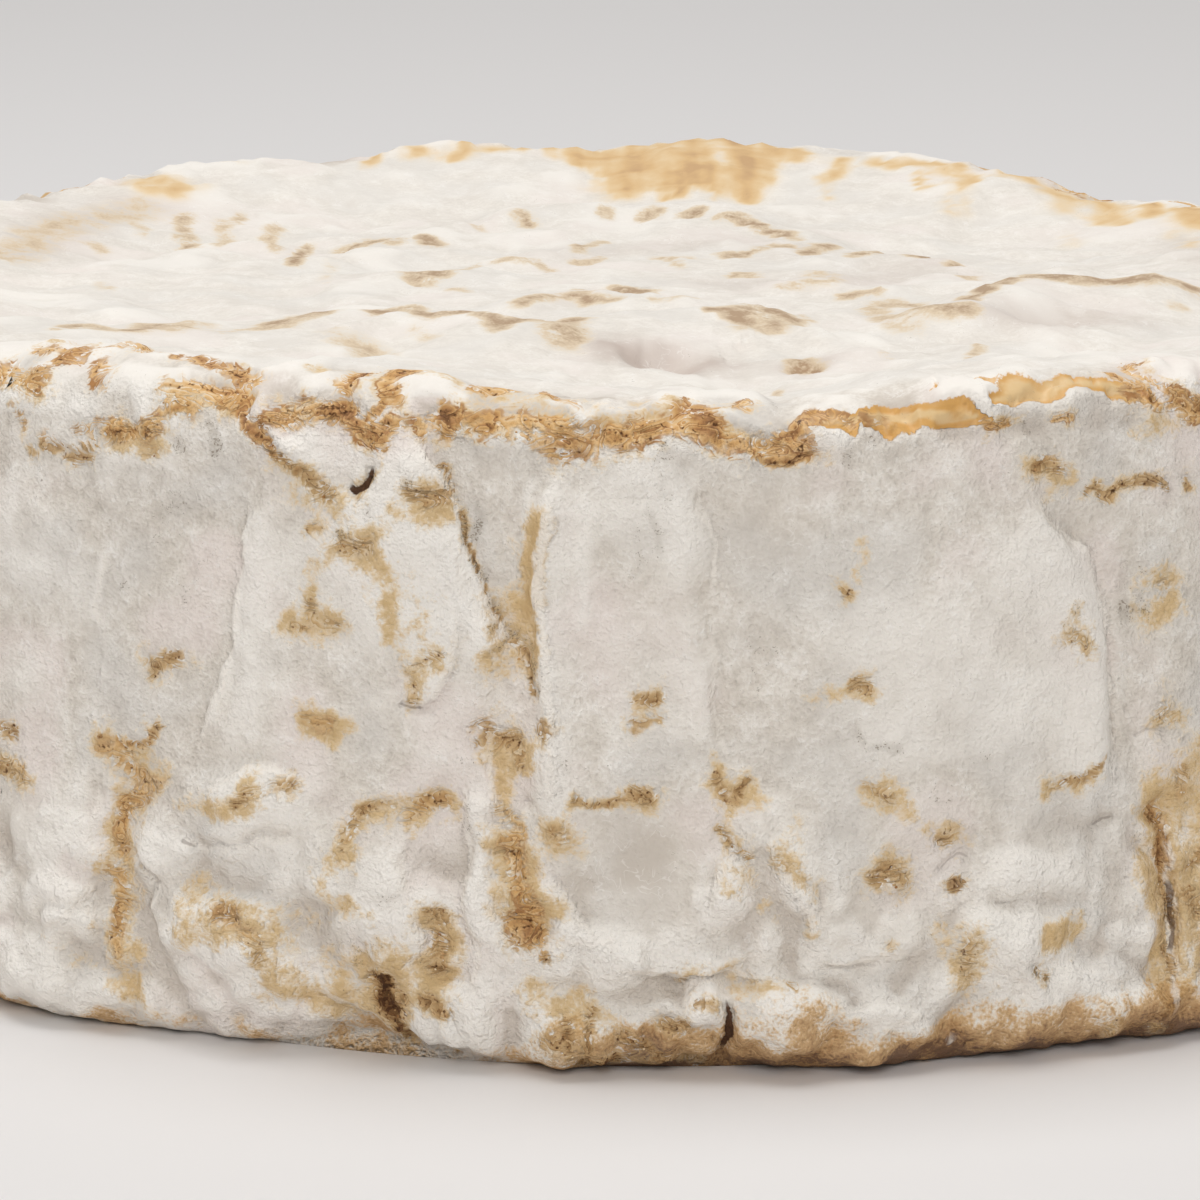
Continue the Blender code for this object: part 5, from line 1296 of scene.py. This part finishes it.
# The mould itself, from its hollows to its fluff
lightness = sum_of(tree, 0.46, (felt, 0.32), (clots, 0.30), (fluff, 0.20), (broad, 0.14), (mid, 0.22))
colour = shades(tree, lightness, [(0.0, MOULD_DEEP), (0.40, MOULD), (0.95, MOULD_FLUFF)])
colour = laid(tree, colour, MOULD_ROSY, broad, 0.0, 0.6, most=0.6)
colour = laid(tree, colour, MOULD_COOL, broad, 0.0, -0.6, most=0.5)
colour = tinted(tree, times(tree, low, 0.32), colour, MOULD_FLUFF)
# Painted highlight on raised parts and swells, and painted shade in the hollows
colour = laid(tree, colour, MOULD_FLUFF, painted["relief_light_shade"], 0.05, 0.7, most=0.8)
colour = laid(tree, colour, HOLLOW_SHADE, painted["relief_light_shade"], -0.05, -0.8, most=0.7)
# The top's own tint, grey sleek skin that is partly painted shade, and painted grey-mauve shade in the
# top's hollows
for kind, share, over in (("top", 0.5, MOULD_TOP), ("sleek_and_shade", 0.6, SLEEK_SKIN_AND_SHADE), ("top_hollow_shade", 0.85, MAUVE_SHADE)):
    colour = tinted(tree, times(tree, painted[kind], share), colour, over)
threads = noise(tree, place_mm, 1.0 / THREADS_PER_MM, 2.0, distortion=0.6).outputs["Fac"]
off_thread = reckoned(tree, "ABSOLUTE", reckoned(tree, "SUBTRACT", threads, 0.5))
thread = times(tree, between(tree, off_thread, 0.022, 0.004), between(tree, clots, -0.1, 0.35))
colour = tinted(tree, times(tree, thread, 0.35), colour, MOULD_THREAD)

# The marks of the top, and the washes and the browned foot of the wall, its darkest part at the board
# partly painted shade
gritty = sum_of(tree, (felt, 0.42), (fluff, 0.34), (clots, 0.24))
patchy = sum_of(tree, (gritty, 0.7), (clots, 0.4), (mid, 0.4))
tanned = sum_of(tree, painted["tan"], times(tree, patchy, painted["tan"]))
tan_colour = shades(tree, times(tree, tanned, 0.8), TAN_MARK)
colour = laid(tree, colour, tan_colour, tanned, 0.14, 0.62, most=0.84)
streaks = mottle(tree, stretched(tree, place_mm, STREAK_STRETCH), CLOT, 1.0, 0.4, strength=4.0)
streaky = sum_of(tree, (streaks, 0.36), (clots, 0.2), (mid, 0.3))
gilt = sum_of(tree, painted["golden"], times(tree, painted["golden"], streaky))
colour = laid(tree, colour, shades(tree, times(tree, gilt, 0.75), GOLDEN), gilt, 0.05, 0.8, most=0.95)
washed = sum_of(tree, (clots, 0.34), (felt, 0.30), (fluff, 0.12), (step, -0.12))
soak = sum_of(tree, painted["wash"], times(tree, washed, between(tree, painted["wash"], 0.0, 0.15)))
colour = laid(tree, colour, shades(tree, soak, SOAKED), soak, 0.14, 0.74, most=0.92)
grainy = sum_of(tree, (gritty, 0.52), (mid, 0.34), -0.02)
toasted_and_shaded = times(tree, grainy, between(tree, painted["toast_and_foot_shade"], 0.0, 0.2))
toasted_and_shaded = sum_of(tree, painted["toast_and_foot_shade"], toasted_and_shaded)
colour = laid(tree, colour, shades(tree, toasted_and_shaded, TOAST_AND_FOOT_SHADE_TONES), toasted_and_shaded, 0.05, 0.55, most=0.92)

# Folds: a painted soft shade under each edge and a painted highlight along its lip
lips = []
for layer in range(len(edge_layers)):
    edge = painted[f"edge_{layer}"]
    off = sum_of(tree, painted[f"edge_off_{layer}"], (felt, 0.10), (fluff, 0.05))
    under = band(tree, off, -1.3, -0.05, -0.02, 0.22)
    past_lip = sum_of(tree, off, (sum_of(tree, 0.35, (clots, 0.35)), -1.0))
    lip = times(tree, between(tree, off, -0.02, 0.10), between(tree, past_lip, 0.12, -0.12))
    uneven = sum_of(tree, 0.13, (clots, 0.30), (felt, 0.16))
    colour = laid(tree, colour, FOLD_SHADE, times(tree, times(tree, under, edge), uneven), 0.0, 1.0)
    colour = tinted(tree, times(tree, times(tree, lip, edge), 0.75), colour, FOLD_HIGHLIGHT)
    lips.append((times(tree, edge, between(tree, off, -0.35, 0.30)), 0.5))

# Bare paste along the worn rim
bare_edge = sum_of(tree, painted["amber"], (felt, 0.05), (fluff, 0.03))
bare_paste = between(tree, bare_edge, 0.46, 0.53)
into = sum_of(tree, painted["amber"], (clots, 0.16), (felt, 0.05), (painted["honey"], -0.16))
paste_colour = tinted(tree, between(tree, into, 0.74, 0.5), AMBER_PALE, AMBER_DEEP)
colour = tinted(tree, bare_paste, colour, paste_colour)

# Scabs of dry crust, with a dark outline along the rim, dark flecks and pale flecks
gate = reckoned(tree, "MULTIPLY", painted["crust"], 2.4, use_clamp=True)
ragged = sum_of(tree, (felt, 0.22), (fluff, 0.08), (clots, 0.24), (step, -0.42))
scab = sum_of(tree, painted["crust"], times(tree, ragged, gate))
scab_tone = sum_of(tree, (scab, 0.58), times(tree, gate, sum_of(tree, (mid, 0.30), (step, -0.22))))
scab_colour = tinted(tree, painted["orange"], shades(tree, scab_tone, SCAB),
                     shades(tree, scab_tone, ORANGE_SCAB))
colour = laid(tree, colour, scab_colour, scab, 0.14, 0.62, most=0.92)
outline = times(tree, band(tree, scab, 0.16, 0.34, 0.40, 0.60), painted["orange"])
outline = times(tree, outline, sum_of(tree, 0.40, (clots, 0.9)))
colour = laid(tree, colour, OUTLINE, outline, 0.0, 1.0)
specks = times(tree, sum_of(tree, tiny, (clots, 0.4)), gate)
specks = sum_of(tree, times(tree, painted["crust"], 0.55), specks)
colour = laid(tree, colour, FLECK, specks, 0.80, 1.05, most=0.55)
colour = laid(tree, colour, SCORCHED, specks, 1.05, 1.35, most=0.8)
pale = sum_of(tree, (felt, -0.6), (clots, -0.4), (step, 0.8), (painted["crust"], -0.25))
colour = laid(tree, colour, MOULD_FLUFF, times(tree, gate, pale), 0.28, 0.50, most=0.65)

# Clusters of grey specks in a faint haze
haze = sum_of(tree, painted["grime"], (felt, 0.3), (clots, 0.3))
colour = laid(tree, colour, GREY_SPECK, haze, 0.25, 1.1, most=0.22)
shaken = noise(tree, place_mm, 1.0 / SHAKES_PER_MM, 0.0).outputs["Color"]
strewn = reckoned(tree, "MULTIPLY_ADD", shaken, SHAKE, place_mm, kind="ShaderNodeVectorMath")
dots = node(tree, "ShaderNodeTexVoronoi", named={"Vector": strewn, "Scale": DOTS_PER_MM})
dot_share = sum_of(tree, painted["grime"], (clots, 0.35), (felt, 0.45))
dot = sum_of(tree, dots.outputs["Distance"], (dot_share, -0.30))
colour = laid(tree, colour, GREY_SPECK, dot, 0.12, -0.08, most=0.62)

# Gaps where the skin has parted
gaps = []
for layer in range(len(gap_layers)):
    gap = painted[f"gap_{layer}"]
    nearness = reckoned(tree, "ABSOLUTE", painted[f"gap_off_{layer}"])
    gap_width = times(tree, gap, sum_of(tree, 1.0, (felt, 0.6), (clots, 0.6)))
    parted = between(tree, sum_of(tree, nearness, (gap_width, -1.0)), 0.03, -0.03)
    parted = times(tree, parted, between(tree, gap, 0.0, 0.03))
    colour = tinted(tree, times(tree, parted, between(tree, gap, 0.01, 0.15)), colour, GAP)
    gaps.append((times(tree, between(tree, nearness, 0.35, 0.02), between(tree, gap, 0.0, 0.12)), -1.0))

# The nap, quiet where the skin is sleek or bare, with the crust, the lips and the gaps in it
nap = sum_of(tree, (felt, 0.30), (fluff, 0.14), (clots, 0.26))
nap = sum_of(tree, nap, times(tree, low, sum_of(tree, (felt, 0.12), (clots, 0.12))))
quiet = sum_of(tree, 1.0, (painted["sleek_and_shade"], -0.85), (painted["top"], -0.5))
quiet = times(tree, quiet, reckoned(tree, "SUBTRACT", 1.0, bare_paste))
nap = times(tree, nap, sum_of(tree, (quiet, 0.85), 0.15))
raised = sum_of(tree, nap, times(tree, ragged, gate), (bare_paste, -0.5), *lips, *gaps)
raised = times(tree, raised, sum_of(tree, 1.0, (painted["past"], -1.0)))
bump = node(tree, "ShaderNodeBump", named={"Strength": 1.0, "Distance": NAP_DEPTH, "Height": raised})
rough = sum_of(tree, 0.92, (bare_paste, -0.55), (painted["sleek_and_shade"], -0.12))
for name, source in (("Base Color", colour), ("Normal", bump.outputs[0]), ("Roughness", rough)):
    tree.links.new(source, shader.inputs[name])
shader.inputs["Specular IOR Level"].default_value = 0.3
rind_mesh.materials.append(finish)
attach(rind, "root")
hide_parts("camembert_wheel")


# Crumbs of dry crust
# Small irregular grains of the browned rind, half sunk in the crusts of the wall and the rim. They are
# strewn by nodes, most thickly where the crust is thickest.
CRUMBS_PER_MM2 = 1.8
LEAST_CRUMB, MOST_CRUMB = (0.08, 0.08, 0.06), (0.26, 0.20, 0.14)
CRUMB_LEAN = 0.5
CRUMB_CRUMPLE = 0.15
CRUMPLES_PER_MM = 2.2
CRUMB_SEED = 13
CRUMB_SHADES = [(0.0, (0.34, 0.17, 0.06)), (0.5, (0.62, 0.39, 0.18)), (1.0, (0.86, 0.72, 0.50))]

bits_finish, tree, shader, place_mm = new_finish("loose_rind")
small = mottle(tree, place_mm, 0.3, 3.0, 0.6)
tone = sum_of(tree, field_of(tree, "tone"), (small, 0.5), (field_of(tree, "crust"), -0.4), 0.2)
tree.links.new(shades(tree, tone, CRUMB_SHADES), shader.inputs["Base Color"])
shader.inputs["Roughness"].default_value = 0.85
shader.inputs["Specular IOR Level"].default_value = 0.3


def scattered_crumbs(name):
    """Nodes that scatter crumbs over the rind by its crumbly field, and the values of their inputs."""
    group = bpy.data.node_groups.new(name, "GeometryNodeTree")
    ports = group.interface
    ports.new_socket("Geometry", in_out="INPUT", socket_type="NodeSocketGeometry")
    values = {}
    for label, kind, value in (
            ("Crumbs per square metre", "NodeSocketFloat", CRUMBS_PER_MM2 / MM**2),
            ("Least size", "NodeSocketVector", [side * MM for side in LEAST_CRUMB]),
            ("Most size", "NodeSocketVector", [side * MM for side in MOST_CRUMB]),
            ("Lean", "NodeSocketFloat", CRUMB_LEAN),
            ("Crumple", "NodeSocketFloat", CRUMB_CRUMPLE * MM)):
        values[ports.new_socket(label, in_out="INPUT", socket_type=kind).identifier] = value
    ports.new_socket("Geometry", in_out="OUTPUT", socket_type="NodeSocketGeometry")
    given = group.nodes.new("NodeGroupInput").outputs
    crumbly_field = node(group, "GeometryNodeInputNamedAttribute", "crumbly", data_type="FLOAT")
    wanted = times(group, crumbly_field.outputs[0], given["Crumbs per square metre"])
    points = node(group, "GeometryNodeDistributePointsOnFaces", named={
        "Mesh": given["Geometry"], "Density": wanted, "Seed": CRUMB_SEED}).outputs
    size = node(group, "FunctionNodeRandomValue", given["Least size"], given["Most size"],
                data_type="FLOAT_VECTOR", named={"Seed": CRUMB_SEED + 1})
    low, high = (node(group, "ShaderNodeCombineXYZ", lean, lean, about).outputs[0] for lean, about in (
        (times(group, given["Lean"], -1.0), -math.pi), (given["Lean"], math.pi)))
    spin = node(group, "FunctionNodeRandomValue", low, high, data_type="FLOAT_VECTOR",
                named={"Seed": CRUMB_SEED + 2})
    turning = node(group, "FunctionNodeEulerToRotation", spin.outputs["Value"]).outputs[0]
    facing = node(group, "FunctionNodeRotateRotation", points["Rotation"], turning,
                  rotation_space="LOCAL")
    crumb = node(group, "GeometryNodeMeshIcoSphere", named={"Subdivisions": 1, "Radius": 0.5})
    crumbs = node(group, "GeometryNodeInstanceOnPoints", named={
        "Points": points["Points"], "Instance": crumb.outputs[0], "Rotation": facing.outputs[0],
        "Scale": size.outputs["Value"]})
    chance = node(group, "FunctionNodeRandomValue", data_type="FLOAT", named={"Seed": CRUMB_SEED + 3})
    chance = next(port for port in chance.outputs if port.enabled)
    toned = node(group, "GeometryNodeStoreNamedAttribute", data_type="FLOAT", domain="INSTANCE", named={
        "Name": "tone", "Geometry": crumbs.outputs[0], "Value": chance})
    solid = node(group, "GeometryNodeRealizeInstances", toned.outputs[0]).outputs[0]
    where = node(group, "GeometryNodeInputPosition").outputs[0]
    spots = node(group, "ShaderNodeTexNoise", named={"Vector": where, "Scale": CRUMPLES_PER_MM / MM})
    moved = reckoned(group, "SUBTRACT", spots.outputs["Color"], (0.5, 0.5, 0.5),
                     kind="ShaderNodeVectorMath")
    moved = reckoned(group, "SCALE", moved, kind="ShaderNodeVectorMath",
                     named={"Scale": given["Crumple"]})
    crumpled = node(group, "GeometryNodeSetPosition", named={"Geometry": solid, "Offset": moved})
    coated = node(group, "GeometryNodeSetMaterial", named={
        "Geometry": crumpled.outputs[0], "Material": bits_finish})
    node(group, "NodeGroupOutput", coated.outputs[0])
    return group, values


crumbs = added("crust_crumbs", rind_mesh)
modifier = crumbs.modifiers.new(crumbs.name, "NODES")
modifier.node_group, values = scattered_crumbs(crumbs.name)
for identifier, value in values.items():
    modifier[identifier] = value
crumbs.update_tag()
seen = crumbs.evaluated_get(bpy.context.evaluated_depsgraph_get())
crumb_mesh = bpy.data.meshes.new_from_object(seen)
crumbs.modifiers.remove(modifier)
crumbs.data = crumb_mesh
crumb_mesh.name = crumbs.name
for name in PAINTED:
    if name != "crust" and name in crumb_mesh.attributes:
        crumb_mesh.attributes.remove(crumb_mesh.attributes[name])
crumb_mesh.materials.clear()
crumb_mesh.materials.append(bits_finish)
crumb_mesh.shade_smooth()
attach(crumbs, "root")


# The table and the studio
# A plain pale table runs out of view behind the wheel. The light is a broad soft one overhead and a
# little behind, with an even fill from all round, so that the top is brighter than the side.
TABLE_TONE = (0.80, 0.78, 0.77)
TABLE_HALF = 3.0
TABLE_DROP = 0.02 * MM
WORLD_TONE, WORLD_STRENGTH = (1.0, 0.99, 0.975), 0.34
ON_WHEEL, ON_BACKDROP = (0.0, 0.0, 0.02), (0.0, 1.0, 0.0)

table_mesh = bpy.data.meshes.new("table")
corners = [(-1, -1), (1, -1), (1, 1), (-1, 1)]
table_mesh.from_pydata([(a * TABLE_HALF, b * TABLE_HALF, -TABLE_DROP) for a, b in corners], [],
                       [(0, 1, 2, 3)])
table = added("table", table_mesh)
table_finish = bpy.data.materials.new("table")
table_finish.use_nodes = True
table_shader = table_finish.node_tree.nodes["Principled BSDF"]
table_shader.inputs["Base Color"].default_value = (*TABLE_TONE, 1.0)
table_shader.inputs["Roughness"].default_value = 0.8
table_mesh.materials.append(table_finish)

world = bpy.data.worlds.new("studio")
bpy.context.scene.world = world
world.use_nodes = True
world.node_tree.nodes["Background"].inputs["Color"].default_value = (*WORLD_TONE, 1.0)
world.node_tree.nodes["Background"].inputs["Strength"].default_value = WORLD_STRENGTH


def softbox(name, place, aim, size, watts):
    """A square area light, turned from its place to its aim."""
    lamp = bpy.data.lights.new(name, "AREA")
    lamp.shape = "SQUARE"
    lamp.size = size
    lamp.energy = watts
    box = added(name, lamp)
    box.location = place
    away = np.subtract(place, aim)
    yaw = math.atan2(away[1], away[0]) + math.pi / 2
    tilt = math.atan2(math.hypot(away[0], away[1]), away[2])
    box.rotation_euler = (tilt, 0.0, yaw)


softbox("overhead", (-0.08, -0.02, 0.75), ON_WHEEL, size=0.50, watts=2.94)
softbox("front_fill", (-0.04, -0.92, 0.62), ON_WHEEL, size=0.45, watts=3.6)
softbox("backdrop", (0.0, 1.35, 0.80), ON_BACKDROP, size=0.9, watts=3.7)

bpy.context.scene.view_settings.view_transform = "Standard"
